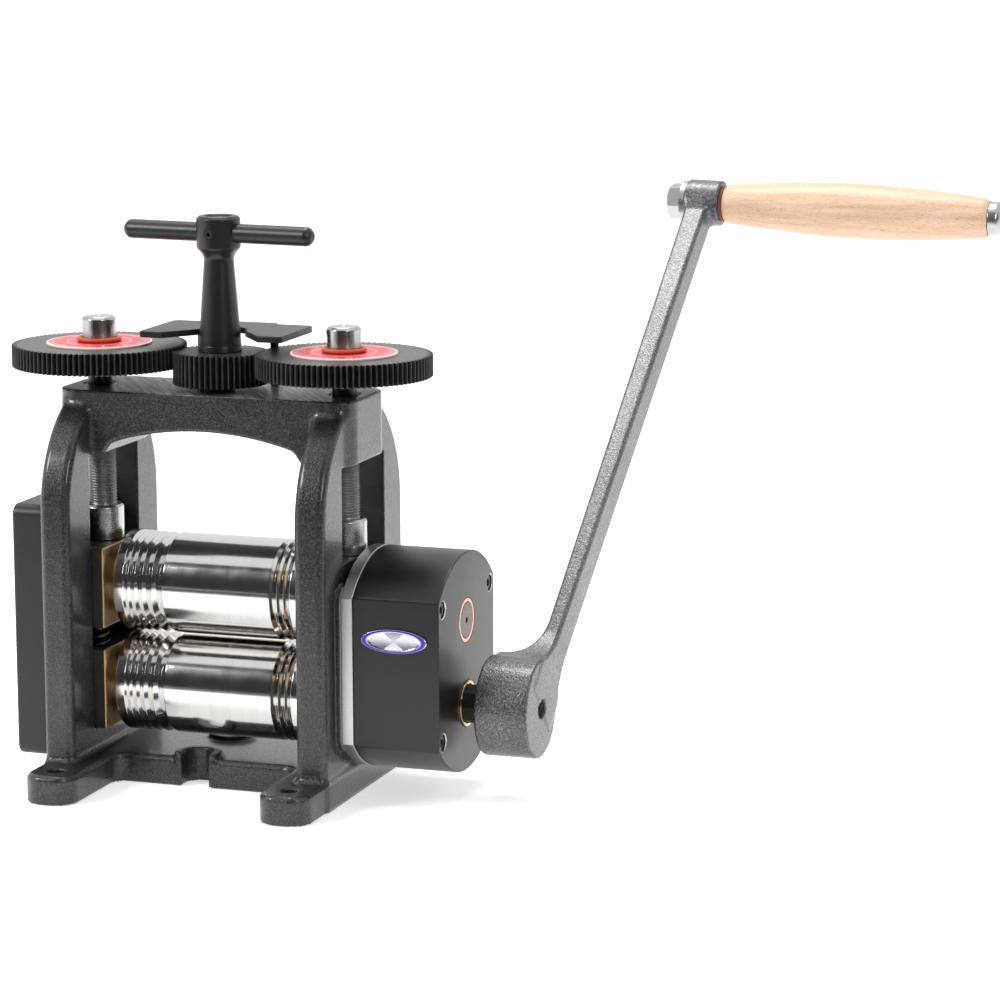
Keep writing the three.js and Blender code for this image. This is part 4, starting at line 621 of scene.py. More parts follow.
def eased(profile: Profile, steps: int = 4) -> np.ndarray:
    """Rounds the corners of a profile that give a radius.

    Args:
        profile: Points as (along, radius) or (along, radius, corner), mm.
        steps: How many faces each rounded corner gets.

    Returns:
        The points with the corners drawn out.
    """
    out = []
    for i, point in enumerate(profile):
        here = np.array(point[:2])
        if len(point) < 3 or i in (0, len(profile) - 1):
            out.append(here[None])
            continue
        ways = [np.array(profile[k][:2]) - here for k in (i - 1, i + 1)]
        lengths = [np.linalg.norm(way) for way in ways]
        reach = min(point[2], *(length * 0.48 for length in lengths))
        start, end = (here + way / length * reach for way, length in zip(ways, lengths))
        out.append(bent(start, here, end, steps + 1))
    return np.concatenate(out)


def lathe(profile: Profile, axis: Axis, at: Triple = (0, 0, 0), segments: int = 96,
          ring: bool = False, sharp: float = 35.0, turn: Matrix = STILL) -> Mesh:
    """Turns a profile round an axis.

    Args:
        profile: Points as (along, radius) or (along, radius, corner), mm.
        axis: The direction of the axis.
        at: A point on the axis, mm.
        segments: The faces round it.
        ring: Whether the profile closes on itself rather than on the axis.
        sharp: The angle over which an edge stays sharp, in degrees.
        turn: What turns the finished piece into place, in mm.

    Returns:
        The mesh.
    """
    along, radius = eased(profile).T[:, :, None]
    angles = round_angles(segments)
    spots = np.empty((len(along), segments, 3))
    for i, values in enumerate((along, radius * np.cos(angles), radius * np.sin(angles))):
        spots[..., (axis.value + i) % 3] = values
    return skin(turned_by(spots + np.array(at), turn), sharp, ring)


def arc_points(centre: Pair, radius: float, start: float, end: float, steps: int) -> list[Pair]:
    """Points on an arc, its angles in degrees."""
    return [(centre[0] + radius * math.cos(t), centre[1] + radius * math.sin(t))
            for t in np.radians(np.linspace(start, end, steps + 1))]


def hole_points(centre: Pair, radius: float, count: int) -> list[Pair]:
    """Points round a hole."""
    return arc_points(centre, radius, 0, 360, count)[:-1]


def rounded_corners(corners: Profile, steps: int) -> list[Pair]:
    """A closed outline with its corners rounded.

    Args:
        corners: Its corners as (a, b), or as (a, b, radius) where they are rounded, mm.
        steps: The faces round each corner.

    Returns:
        The points.
    """
    out: list[Pair] = []
    for i, corner in enumerate(corners):
        here = Vector(corner[:2])
        if len(corner) < 3:
            out.append(tuple(here))
            continue
        before = (Vector(corners[i - 1][:2]) - here).normalized()
        after = (Vector(corners[(i + 1) % len(corners)][:2]) - here).normalized()
        half = math.acos(max(-1.0, min(1.0, before.dot(after)))) / 2
        reach = corner[2] / math.tan(half)
        centre = here + (before + after).normalized() * (corner[2] / math.sin(half))
        first = here + before * reach - centre
        span = first.angle_signed(here + after * reach - centre)
        for k in range(steps + 1):
            out.append(tuple(centre + Matrix.Rotation(-span * k / steps, 2) @ first))
    return out


PLATE_FRAMES = {
    Axis.X: Matrix(((0, 0, 1, 0), (1, 0, 0, 0), (0, 1, 0, 0), (0, 0, 0, 1))),
    Axis.Z: STILL,
}


def plate(outline: Sequence[Pair], holes: Sequence[Sequence[Pair]], axis: Axis, low: float,
          high: float, edge: float, steps: int = 2) -> Mesh:
    """Cuts a plate with eased edges from an outline with holes.

    Args:
        outline: The outline's points on the two other axes, mm.
        holes: The outlines of its holes.
        axis: The axis across the plate.
        low: Where it starts on that axis, mm.
        high: Where it ends, mm.
        edge: The radius of its edges, mm.
        steps: The faces across each edge.

    Returns:
        The mesh.
    """
    curve = bpy.data.curves.new("outline", "CURVE")
    curve.dimensions = "2D"
    curve.fill_mode = "BOTH"
    curve.extrude = (high - low) / 2 - edge
    curve.bevel_depth = edge
    curve.bevel_resolution = steps
    curve.offset = -edge
    for points in (outline, *holes):
        spline = curve.splines.new("POLY")
        spline.points.add(len(points) - 1)
        for spot, (a, b) in zip(spline.points, points):
            spot.co = (a, b, 0.0, 1.0)
        spline.use_cyclic_u = True
    flat = evaluated(link("outline", curve))
    bpy.data.curves.remove(curve)
    raised = Matrix.Translation((0.0, 0.0, (low + high) / 2))
    flat.transform(Matrix.Scale(MM, 4) @ PLATE_FRAMES[axis] @ raised)
    flat.materials.clear()
    return closed(flat, 40)


def sweep(path: np.ndarray, section: float, sides: int = 10) -> Mesh:
    """A round wire along a path, closed at both ends.

    Args:
        path: The points along its middle, mm.
        section: The wire's radius, mm.
        sides: The faces round it.

    Returns:
        The mesh.
    """
    along = np.gradient(path, axis=0)
    along /= np.linalg.norm(along, axis=1)[:, None]
    side = np.cross(along, (0.0, 0.0, 1.0))
    side /= np.linalg.norm(side, axis=1)[:, None]
    up = np.cross(side, along)
    angles = round_angles(sides)[None, :, None]
    return skin(path[:, None] + section * (np.cos(angles) * side[:, None]
                                           + np.sin(angles) * up[:, None]), 50)


class Repeater(Nodes):
    """A Geometry Nodes tree that repeats its own mesh."""

    def __init__(self, name: str, finish: "Finish", **sizes: float) -> None:
        """Starts a tree with the mesh and some sizes as its inputs.

        Args:
            name: The tree's name.
            finish: What the repeated mesh is made of.
            **sizes: The tree's own inputs with their values.
        """
        super().__init__(bpy.data.node_groups.new(name, "GeometryNodeTree"))
        self.finish = finish
        self.sizes = sizes
        sockets = self.tree.interface
        for way in ("INPUT", "OUTPUT"):
            sockets.new_socket("Geometry", in_out=way, socket_type="NodeSocketGeometry")
        for key, value in sizes.items():
            kind = "NodeSocketInt" if isinstance(value, int) else "NodeSocketFloat"
            sockets.new_socket(key, in_out="INPUT", socket_type=kind)
        self.source = self.node("NodeGroupInput").outputs

    def run(self, points: bpy.types.Node, mesh: Mesh, place: Matrix, **inputs: Socket) -> Mesh:
        """Sets the mesh on points, ends the tree and runs it.

        Args:
            points: The node of the points that the copies stand on.
            mesh: The mesh that is repeated, in metres.
            place: Where the result goes, in mm.
            **inputs: What else the copies' node gets.

        Returns:
            The result as a plain mesh.
        """
        copies = self.node("GeometryNodeInstanceOnPoints", {}, {
            "Points": points.outputs[0], "Instance": self.source[0], **inputs})
        real = self.node("GeometryNodeRealizeInstances", {}, {0: copies.outputs[0]})
        merged = self.node("GeometryNodeMergeByDistance", {},
                           {0: real.outputs[0], "Distance": COPY_WELD})
        dressed = self.node("GeometryNodeSetMaterial", {},
                            {0: merged.outputs[0], "Material": self.finish.material()})
        self.node("NodeGroupOutput", {}, {0: dressed.outputs[0]})
        holder = link("repeat", mesh)
        modifier = holder.modifiers.new("repeat", "NODES")
        modifier.node_group = self.tree
        for item in self.tree.interface.items_tree:
            if item.name in self.sizes:
                modifier[item.identifier] = self.sizes[item.name]
        result = evaluated(holder, all_layers=True)
        result.transform(scaled_place(place))
        return result


@dataclass(frozen=True)
class Finish:
    """A finish of the mill, made into a material the first time it is asked for."""

    name: str
    slot: str

    def material(self) -> Material:
        """The finish's material."""
        return bpy.data.materials.get(self.name) or self.build(Shader(self.name))

    def build(self, shader: Shader) -> Material:
        """Builds the material in an empty shader."""
        raise NotImplementedError


@dataclass(frozen=True)
class Hammertone(Finish):
    """Cast iron under a hammered paint, with flecks of metal in it."""

    dark: Colour = (0.003, 0.003, 0.0034)
    light: Colour = (0.098, 0.099, 0.106)
    pebble: float = 1.0
    depth: float = 0.36
    roughness: float = 0.34
    metallic: float = 0.3
    coat: float = 0.5
    coat_roughness: float = 0.16

    def relief(self, shader: Shader) -> Value:
        """The paint's pebbled height, 0 to 1."""
        return shader.cells(self.pebble) * 0.7 + shader.noise(self.pebble * 0.6, 3.0) * 0.6

    def paint(self, shader: Shader, relief: Value) -> Socket:
        """The paint's colour, with dark hollows, light crests and small flecks."""
        fleck = shader.noise(0.45).above(0.6, 0.12)
        tone = (relief * 0.85 + fleck * 0.6 + shader.noise(34.0) * 0.3 - 0.55).clamped()
        return shader.blend(tone, self.dark, self.light)

    def build(self, shader: Shader) -> Material:
        """Paint all over."""
        relief = self.relief(shader)
        return shader.finish(
            Base_Color=self.paint(shader, relief),
            Roughness=self.roughness + shader.noise(3.0) * 0.16 - 0.06,
            Metallic=self.metallic, Coat_Weight=self.coat, Coat_Roughness=self.coat_roughness,
            Normal=shader.bump(relief, self.depth))


@dataclass(frozen=True)
class FrameCastingPaint(Hammertone):
    """The frame's paint, left off where the casting is machined."""

    top_z: float = 216.7
    window_y: float = 31.3
    window_z: Pair = (28.6, 182.0)
    leg_inner: float = 64.8
    pad_x: float = 85.4
    pad_top: float = 130.0
    mill_turn: Pair = (0.82, 0.57)

    def build(self, shader: Shader) -> Material:
        """Paint, with a milled bridge top, planed windows and bare gearbox pads."""
        relief = self.relief(shader)
        top = shader.z.above(self.top_z)
        side = abs(abs(shader.y) - self.window_y).below(0.4) * abs(shader.x).above(self.leg_inner)
        side = side * shader.z.above(self.window_z[0]) * shader.z.below(self.window_z[1])
        pads = shader.x.above(self.pad_x) * shader.z.below(self.pad_top)
        cosine, sine = self.mill_turn
        across = shader.x * cosine + shader.y * sine
        along = shader.x * -sine + shader.y * cosine
        marks = shader.noise(1.0, 3.0, at=shader.vector(across * 0.55, along * 0.035, 0.0))
        swirl = shader.noise(1.0, at=shader.vector(across * 0.16, along * 0.02, 0.0))
        milled = shader.ramp(marks * 0.65 + swirl * 0.35, (
            (0.36, (0.03, 0.026, 0.024)), (0.5, (0.17, 0.15, 0.135)),
            (0.62, (0.42, 0.38, 0.35))))
        planed = shader.noise(1.0, at=shader.vector(shader.x * 0.1, 0.0, shader.z * 2.2))
        smooth = shader.blend(planed, (0.012, 0.012, 0.013), (0.05, 0.05, 0.052))
        colour = shader.blend(side, self.paint(shader, relief), smooth)
        bare = (top + side * 0.8 + pads).clamped()
        height = relief * (1 - bare) + marks * top * 0.5 + planed * side * 0.12
        return shader.finish(
            Base_Color=shader.blend(pads, shader.blend(top, colour, milled), (0.34, 0.34, 0.35)),
            Roughness=self.roughness + shader.noise(3.0) * 0.14 - 0.05,
            Metallic=self.metallic + top * 0.4, Coat_Weight=self.coat * (1 - bare),
            Coat_Roughness=self.coat_roughness, Normal=shader.bump(height, self.depth))


@dataclass(frozen=True)
class TurnedSteel(Finish):
    """Steel from a lathe or a grinder, with fine lines round its axis."""

    axis: Axis = Axis.Z
    centre: Pair = (0.0, 0.0)
    colour: Colour = (0.62, 0.61, 0.59)
    shade: Colour = (0.36, 0.35, 0.34)
    roughness: float = 0.2
    spread: float = 0.12
    line: float = 0.25
    depth: float = 0.012
    coarse: float = 14.0

    def lines(self, shader: Shader, width: float) -> Value:
        """Lines round the axis, on the barrel and on the ends alike."""
        along, radius = shader.parts[self.axis.value], shader.radius(self.axis, self.centre)
        return shader.noise(1.0, at=shader.vector(along * (1 / width), radius * (1 / width), 0.0))

    def build(self, shader: Shader) -> Material:
        """Bare metal with turning lines and a few handling marks."""
        fine = self.lines(shader, self.line)
        broad = self.lines(shader, self.line * self.coarse)
        marks = shader.noise(9.0, 3.0)
        return shader.finish(
            Base_Color=shader.blend(fine * 0.4 + broad * 0.35 + marks * 0.35, self.shade,
                                    self.colour),
            Roughness=self.roughness + (marks + fine - 1.0) * self.spread,
            Metallic=1.0, Normal=shader.bump(fine, self.depth))


@dataclass(frozen=True)
class BlackOxide(Finish):
    """Steel blacked in salts, brown with wear beyond the radius `rim`, and with a painted sheen of
    lighter lines over the height `top`.
    """

    colour: Colour = (0.011, 0.011, 0.012)
    wear_and_sheen: Colour = (0.055, 0.043, 0.036)
    x: float = 0.0
    rim: float = 5 * FAR
    top: float = 5 * FAR
    roughness: float = 0.36

    def build(self, shader: Shader) -> Material:
        """Black steel with turning lines round Z, brown with wear at the rim and with a painted sheen
        on the top face.
        """
        radius = shader.radius(Axis.Z, (self.x, 0.0))
        lines = shader.noise(1.0, at=shader.vector(radius * 3.2, shader.z * 1.4, 0.0))
        rubbed = shader.noise(5.0, 3.0)
        # Wear beyond the rim, plus painted sheen: lighter turning lines on the top face above `top`.
        wear_and_sheen = radius.above(self.rim, 0.4) * rubbed * 0.7 + shader.z.above(self.top) * lines
        return shader.finish(
            Base_Color=shader.blend(wear_and_sheen.clamped(), self.colour, self.wear_and_sheen),
            Roughness=self.roughness + lines * 0.12 + rubbed * 0.1 - 0.1,
            Metallic=0.1, Specular_IOR_Level=0.5, Normal=shader.bump(lines, 0.02))


@dataclass(frozen=True)
class SatinPaint(Finish):
    """Thin satin paint, plating or anodising on a machined face."""

    colour: Colour = (0.008, 0.008, 0.009)
    light: Colour = (0.02, 0.02, 0.022)
    roughness: float = 0.32
    grain: float = 0.5
    depth: float = 0.02
    metallic: float = 0.0

    def bright(self, shader: Shader) -> Value | None:
        """Where the coat is cut through to bare metal, if it is."""
        return None

    def build(self, shader: Shader) -> Material:
        """An even coat over fine tool marks."""
        cloud, grit = shader.noise(28.0, 3.0), shader.noise(self.grain)
        colour, metallic = shader.blend(cloud, self.colour, self.light), self.metallic
        bright = self.bright(shader)
        if bright:
            colour, metallic = shader.blend(bright, colour, (0.55, 0.55, 0.56)), bright
        return shader.finish(
            Base_Color=colour, Roughness=self.roughness + cloud * 0.1 + grit * 0.06 - 0.08,
            Metallic=metallic, Normal=shader.bump(grit, self.depth))


@dataclass(frozen=True)
class HousingPaint(SatinPaint):
    """The gearbox's black, bare along the edges of its screw recesses."""

    screw_y: float = 38.4
    screw_z: float = 74.35
    screw_half: float = 36.05
    recess: float = 4.75
    face_x: float = 140.6

    def bright(self, shader: Shader) -> Value:
        """Rings where the recesses were cut."""
        across = abs(shader.y) - self.screw_y
        up = abs(shader.z - self.screw_z) - self.screw_half
        ring = abs((across ** 2 + up ** 2) ** 0.5 - self.recess).below(0.42, 0.2)
        return ring * shader.x.above(self.face_x)


@dataclass(frozen=True)
class ThreadSteel(SatinPaint):
    """A pressure screw's zinc, black above its thread, on the shank under the dial gear."""

    thread_end: float = 216.6

    def build(self, shader: Shader) -> Material:
        """Grey zinc on the thread and black on the shank above it."""
        cloud = shader.noise(12.0, 3.0)
        shank = shader.z.above(self.thread_end)
        zinc = shader.blend(cloud, self.colour, self.light)
        black = shader.blend(cloud, (0.006, 0.006, 0.007), (0.022, 0.02, 0.02))
        return shader.finish(
            Base_Color=shader.blend(shank, zinc, black),
            Roughness=self.roughness + cloud * 0.1 - 0.05, Metallic=self.metallic * (1 - shank),
            Normal=shader.bump(shader.noise(self.grain), self.depth))


@dataclass(frozen=True)
class BrushedPlate(Finish):
    """A sawn and brushed plate of light metal."""

    colour: Colour = (0.66, 0.66, 0.67)
    shade: Colour = (0.42, 0.42, 0.43)
    stretch: Triple = (14.0, 1.0, 1.0)
    roughness: float = 0.32
    grain: float = 0.3
    cloud: float = 16.0
    depth: float = 0.02

    def metal(self, shader: Shader) -> tuple[Value, Value, Socket]:
        """The brushed lines, the cloud under them and the metal's colour."""
        lines = shader.noise(self.grain, 3.0, self.stretch)
        cloud = shader.noise(self.cloud)
        return lines, cloud, shader.blend(lines * 0.6 + cloud * 0.4, self.shade, self.colour)

    def build(self, shader: Shader) -> Material:
        """Metal with brushed lines one way."""
        lines, _, colour = self.metal(shader)
        return shader.finish(
            Base_Color=colour, Roughness=self.roughness + lines * 0.16 - 0.08, Metallic=1.0,
            Normal=shader.bump(lines, self.depth))


@dataclass(frozen=True)
class BearingBronze(BrushedPlate):
    """Bearing bronze, with dark brown painted shade on the faces that slide in the frame's windows."""

    face_x: float = 59.2

    def build(self, shader: Shader) -> Material:
        """Clean bronze where the roll's shoulder runs, and dark brown painted shade elsewhere, where
        the frame's windows shade it.
        """
        lines, cloud, clean = self.metal(shader)
        # Beyond the roll's shoulder the block sits in the frame's window: the dark brown there is
        # painted shade, with less metal and more roughness.
        window_shade = abs(shader.x).above(self.face_x, 0.6)
        dull = shader.blend(cloud, (0.014, 0.011, 0.009), (0.05, 0.037, 0.027))
        return shader.finish(
            Base_Color=shader.blend(window_shade, clean, dull),
            Roughness=self.roughness + lines * 0.14 + window_shade * 0.08,
            Metallic=1 - window_shade * 0.5, Normal=shader.bump(lines, self.depth))


@dataclass(frozen=True)
class DialLabel(Finish):
    """A printed dial under clear film, with a plain generic scale."""

    x: float = 0.0
    rim: float = 27.9
    scale: Triple = (27.2, 24.6, 22.6)
    circle: float = 17.4
    divisions: Pair = (6.0, 30.0)

    def build(self, shader: Shader) -> Material:
        """Pink red, with a pale rim, a pale circle and two rows of pale strokes."""
        radius = shader.radius(Axis.Z, (self.x, 0.0))
        angle = shader.math("ARCTAN2", shader.y, shader.x - self.x) * math.degrees(1) + 360.0
        arc = radius * math.radians(1)
        top, *feet = self.scale
        pale = abs(radius - self.circle).below(0.22, 0.1) + radius.above(self.rim, 0.15)
        for foot, division, width in zip(feet, self.divisions, (0.22, 0.32)):
            stroke = (angle.wrapped(division) * arc).below(width, 0.1)
            pale = pale + stroke * radius.above(foot) * radius.below(top)
        body = shader.blend(shader.noise(7.0), (0.45, 0.02, 0.04), (0.62, 0.06, 0.08))
        return shader.finish(
            Base_Color=shader.blend(pale.clamped(), body, (0.80, 0.66, 0.63)),
            Roughness=0.3 + shader.noise(2.0) * 0.05, Specular_IOR_Level=0.3,
            Normal=shader.bump(shader.noise(11.0, 1.0), 0.03))


@dataclass(frozen=True)
class Rubber(Finish):
    """Coloured rubber or fibre, dull and finely grained."""

    colour: Colour = (0.62, 0.11, 0.035)
    shade: Colour = (0.42, 0.05, 0.02)
    roughness: float = 0.42

    def build(self, shader: Shader) -> Material:
        """An even colour, darker in its grain."""
        grain = shader.noise(0.6, 3.0)
        return shader.finish(
            Base_Color=shader.blend(grain, self.shade, self.colour),
            Roughness=self.roughness + grain * 0.15, Normal=shader.bump(grain, 0.03))


@dataclass(frozen=True)
class Badge(Finish):
    """A blank chromed badge with a blue violet rim."""

    middle: Pair = (116.1, 93.3)
    half: Pair = (18.65, 6.5)

    def build(self, shader: Shader) -> Material:
        """Chrome within, a violet enamel line round it and chrome on the edge."""
        x = (shader.x - self.middle[0]) / self.half[0]
        z = (shader.z - self.middle[1]) / self.half[1]
        enamel = abs((x ** 2 + z ** 2) ** 0.5 - 0.9).below(0.07, 0.04)
        lines = shader.noise(0.4, 2.0, (8.0, 1.0, 1.0))
        metal = shader.blend(lines, (0.42, 0.43, 0.50), (0.72, 0.73, 0.80))
        return shader.finish(
            Base_Color=shader.blend(enamel, metal, (0.035, 0.012, 0.36)),
            Roughness=0.2 + lines * 0.08, Metallic=1 - enamel, Coat_Weight=0.2,
            Normal=shader.bump(lines, 0.01))


@dataclass(frozen=True)
class Beech(Finish):
    """Waxed beech, its grain along the grip."""

    def build(self, shader: Shader) -> Material:
        """Pale pinkish wood with long bands and short dark flecks."""
        bands = shader.noise(3.6, 3.0, (16.0, 1.0, 1.0))
        fibre = shader.noise(0.5, 3.0, (22.0, 1.0, 1.0))
        flecks = shader.noise(0.42, 1.0, (7.0, 1.0, 1.0)).above(0.64, 0.08)
        ground = shader.ramp(bands, (
            (0.3, (0.60, 0.38, 0.245)), (0.5, (0.70, 0.475, 0.33)), (0.72, (0.77, 0.56, 0.42))))
        lined = shader.blend(fibre.above(0.5, 0.5) * 0.35, ground, (0.52, 0.29, 0.15))
        return shader.finish(
            Base_Color=shader.blend(flecks * 0.55, lined, (0.33, 0.16, 0.075)),
            Roughness=0.42 + fibre * 0.14, Coat_Weight=0.12, Coat_Roughness=0.3,
            Normal=shader.bump(fibre * 0.7 + flecks * 0.3, 0.05))


CRANK_Z = 51.3
COUNTER_Z = 97.3
FRAME_PAINT = FrameCastingPaint("Frame_hammertone", "casting_paint")
CRANK_PAINT = Hammertone("Crank_hammertone", "crank_paint", (0.05, 0.051, 0.056),
                         (0.33, 0.333, 0.35), 1.1, 0.34, 0.34, 0.55, 0.3)
HOUSING_BLACK = HousingPaint("Housing_black", "black_housing", (0.004, 0.004, 0.0045),
                             (0.009, 0.009, 0.01), 0.36)
COVER_BLACK = SatinPaint("Cover_black", "black_housing", (0.006, 0.006, 0.007),
                         (0.014, 0.014, 0.015), 0.4, 0.8, 0.05)
PLAIN_OXIDE = BlackOxide("Black_oxide", "black_oxide")
SCREW_OXIDE = SatinPaint("Screw_oxide", "black_oxide", (0.02, 0.02, 0.022), (0.07, 0.07, 0.072),
                         0.28, 0.4, 0.02, 0.6)
ZINC = SatinPaint("Zinc_plate", "zinc_steel", (0.36, 0.37, 0.37), (0.56, 0.57, 0.57), 0.3, 0.9,
                  0.02, 1.0)
THREAD_ZINC = ThreadSteel("Thread_zinc", "zinc_steel", (0.22, 0.225, 0.23), (0.36, 0.365, 0.37),
                          0.38, 0.5, 0.02, 0.9)
PLATE_METAL = BrushedPlate("Backplate_metal", "backplate_aluminium")
BRONZE = BearingBronze("Bearing_bronze", "bronze", (0.70, 0.50, 0.28), (0.36, 0.22, 0.10),
                       (1.0, 1.0, 6.0), 0.34, 0.6, 9.0)
SHAFT_END = TurnedSteel("Shaft_end", "plain_steel", Axis.X, (0.0, COUNTER_Z),
                        (0.10, 0.085, 0.075), (0.035, 0.03, 0.028), 0.3)
SPRING = SatinPaint("Spring_steel", "spring_steel", (0.03, 0.03, 0.032), (0.09, 0.09, 0.095),
                    0.3, 0.5, 0.01, 0.8)
HIDDEN_STEEL = TurnedSteel("Gear_steel", "plain_steel", Axis.X, (0.0, CRANK_Z))
BUSH_GOLD = TurnedSteel("Bush_bronze", "bronze", Axis.X, (0.0, CRANK_Z), (0.86, 0.62, 0.30),
                        (0.5, 0.33, 0.13), 0.24)
BUSH_COPPER = TurnedSteel("Bush_copper", "copper_ring", Axis.X, (0.0, COUNTER_Z),
                          (0.80, 0.44, 0.33), (0.55, 0.25, 0.17), 0.3)
STEM_OXIDE = BlackOxide("Oxide_stem", "black_oxide", wear_and_sheen=(0.05, 0.045, 0.043), roughness=0.32)
# The index plate's lighter top face above 248.6 mm is painted sheen.
INDEX_OXIDE = BlackOxide("Oxide_index", "black_oxide", (0.013, 0.013, 0.014),
                         (0.04, 0.039, 0.038), top=248.6, roughness=0.42)
RING_RUBBER = Rubber("Ring_rubber", "red_rubber")
WASHER_FIBRE = Rubber("Washer_fibre", "red_fibre", (0.27, 0.085, 0.05), (0.12, 0.035, 0.022), 0.6)
BADGE = Badge("Badge_chrome", "badge_chrome")
BEECH = Beech("Grip_beech", "beech")


@dataclass(frozen=True)
class FrameCasting:
    """The one-piece frame: an H shaped foot, two arched sides and a bridge."""

    base_inner: float = 53.3
    leg_inner: float = 65.1
    leg_outer: float = 82.4
    base_half: float = 91.0
    base_height: float = 16.0
    base_corner: float = 11.0
    base_edge: float = 3.2
    plate_half: float = 30.3
    plate_fillet: float = 8.0
    slot: Triple = (-6.5, 24.0, 8.0)
    ledge_radius: float = 13.3
    ledge_rise: float = 3.0
    hole: Triple = (67.85, 77.0, 4.5)
    leg_half: float = 60.7
    window_half: float = 31.3
    window: Pair = (29.0, 181.5)
    arch_z: float = 152.0
    arch_radius: float = 67.7
    leg_edge: float = 4.0
    top_z: float = 217.0
    bridge_half: Pair = (86.0, 29.0)
    bridge_corner: float = 12.0
    bridge_arc: float = 178.0
    bridge_thickness: float = 20.0
    end_block: float = 56.0
    end_edge: float = 5.0
    screw_x: float = 72.0
    screw_bore: float = 8.3
    spindle_bore: Pair = (8.0, 203.1)
    post: Triple = (21.5, 25.0, 2.55)
    post_depth: float = 8.1
    pad: Triple = (33.0, 45.2, 85.7)
    pad_z: Pair = (29.7, 119.7)
    pad_circle: Pair = (74.7, 60.2)
    overlap: float = 8.0
    cell: float = 1.45

    def foot(self) -> Solid:
        """The H shaped foot with its bolt slots and bolt holes."""
        bars = bar(Axis.Z, ((self.leg_outer - self.base_inner) / 2, self.base_half),
                   self.base_corner, ((self.base_inner + self.leg_outer) / 2, 0.0))
        web = bar(Axis.Z, (self.base_inner + self.overlap, self.plate_half))
        body = bars.mirrored(Axis.X).joined(web, self.plate_fillet)
        body = body.common(below(Axis.Z, self.base_height), self.base_edge)
        slot_x, slot_y, slot_radius = self.slot
        ledges = pillar(Axis.Z, self.ledge_radius, (slot_x, slot_y)).mirrored(Axis.Y)
        ledges = ledges.common(bar(Axis.Z, (FAR, self.plate_half)), 1.0)
        ledges = ledges.common(below(Axis.Z, self.base_height + self.ledge_rise), 1.0)
        slots = Solid(lambda p: np.hypot(
            p[:, 0] - slot_x, np.minimum(np.abs(p[:, 1]) - slot_y, 0)) - slot_radius)
        hole_x, hole_y, hole_radius = self.hole
        holes = pillar(Axis.Z, hole_radius, (hole_x, hole_y)).mirrored(Axis.X, Axis.Y)
        body = body.joined(ledges, 1.5).without(slots, 1.0).without(holes, 0.8)
        return body.common(over(Axis.Z, 0.0), 0.6)

    def sides(self) -> Solid:
        """Two pairs of legs that arch together, with the windows of the bearing blocks."""
        centre = self.arch_radius - self.leg_half

        def arch(p: np.ndarray) -> np.ndarray:
            """The distance to the arch's outline, seen along X."""
            y, z = np.abs(p[:, 1]), p[:, 2]
            above = np.hypot(y + centre, z - self.arch_z) - self.arch_radius
            return np.where(z < self.arch_z, y - self.leg_half, above)

        walls = slab(Axis.X, self.leg_inner, self.leg_outer).mirrored(Axis.X)
        body = Solid(arch).common(walls, self.leg_edge).common(slab(Axis.Z, 0.0, self.top_z - 1))
        return body.without(self.opening(-FAR, FAR), 0.9)

    def opening(self, low: float, high: float) -> Solid:
        """The bearing blocks' window between two places on X."""
        return box((low, -self.window_half, self.window[0]),
                   (high, self.window_half, self.window[1]))

    def bridge(self) -> Solid:
        """The bridge, arched below, with an end block for each pressure screw."""
        plan = bar(Axis.Z, self.bridge_half, self.bridge_corner)
        centre = self.top_z - self.bridge_thickness - self.bridge_arc
        beam = Solid(lambda p: self.bridge_arc - np.hypot(p[:, 0], p[:, 2] - centre))
        reach = self.end_block + self.overlap
        beam = beam.common(slab(Axis.X, -reach, reach))
        low = over(Axis.Z, self.window[1])
        blocks = slab(Axis.X, self.end_block, self.bridge_half[0] + 20).mirrored(Axis.X)
        body = beam.joined(blocks.common(low, self.end_edge), 5.0)
        return body.common(plan, 1.6).common(low, 1.6).common(below(Axis.Z, self.top_z), 0.8)

    def solid(self) -> Solid:
        """The whole casting with its bores and pads."""
        inner, outer, pad_x = self.pad
        pads = slab(Axis.Y, inner, outer).mirrored(Axis.Y)
        pads = pads.common(slab(Axis.X, self.leg_outer - 2, pad_x), 0.5).common(
            slab(Axis.Z, *self.pad_z), 0.5)
        pads = pads.common(pillar(Axis.X, self.pad_circle[1], (0.0, self.pad_circle[0])), 0.5)
        body = self.sides().joined(self.foot(), 4.0).joined(self.bridge(), 3.0).joined(pads)
        body = body.without(self.opening(-FAR, -self.leg_inner + 1), 0.6)
        body = body.without(self.opening(self.leg_inner - 1, FAR), 0.6)
        bores = pillar(Axis.Z, self.screw_bore, (self.screw_x, 0.0)).mirrored(Axis.X)
        bores = bores.common(over(Axis.Z, self.arch_z - 2))
        radius, bottom = self.spindle_bore
        spindle = pillar(Axis.Z, radius).common(over(Axis.Z, bottom))
        post_x, post_y, post_radius = self.post
        posts = pillar(Axis.Z, post_radius, (post_x, post_y)).mirrored(Axis.X)
        posts = posts.common(over(Axis.Z, self.top_z - self.post_depth))
        body = body.without(bores, 0.8).without(spindle, 0.8).without(posts, 0.5)
        return body.common(below(Axis.Z, self.top_z)).common(over(Axis.Z, 0.0))

    def build(self) -> None:
        """Casts the frame."""
        low = (-self.bridge_half[0], -self.base_half, 0.0)
        high = (self.bridge_half[0], self.base_half, self.top_z)
        mesh = casting(self.solid(), low, high, self.cell)
        add_piece(mesh, "frame_body", "frame", FRAME_PAINT, "frame_casting")


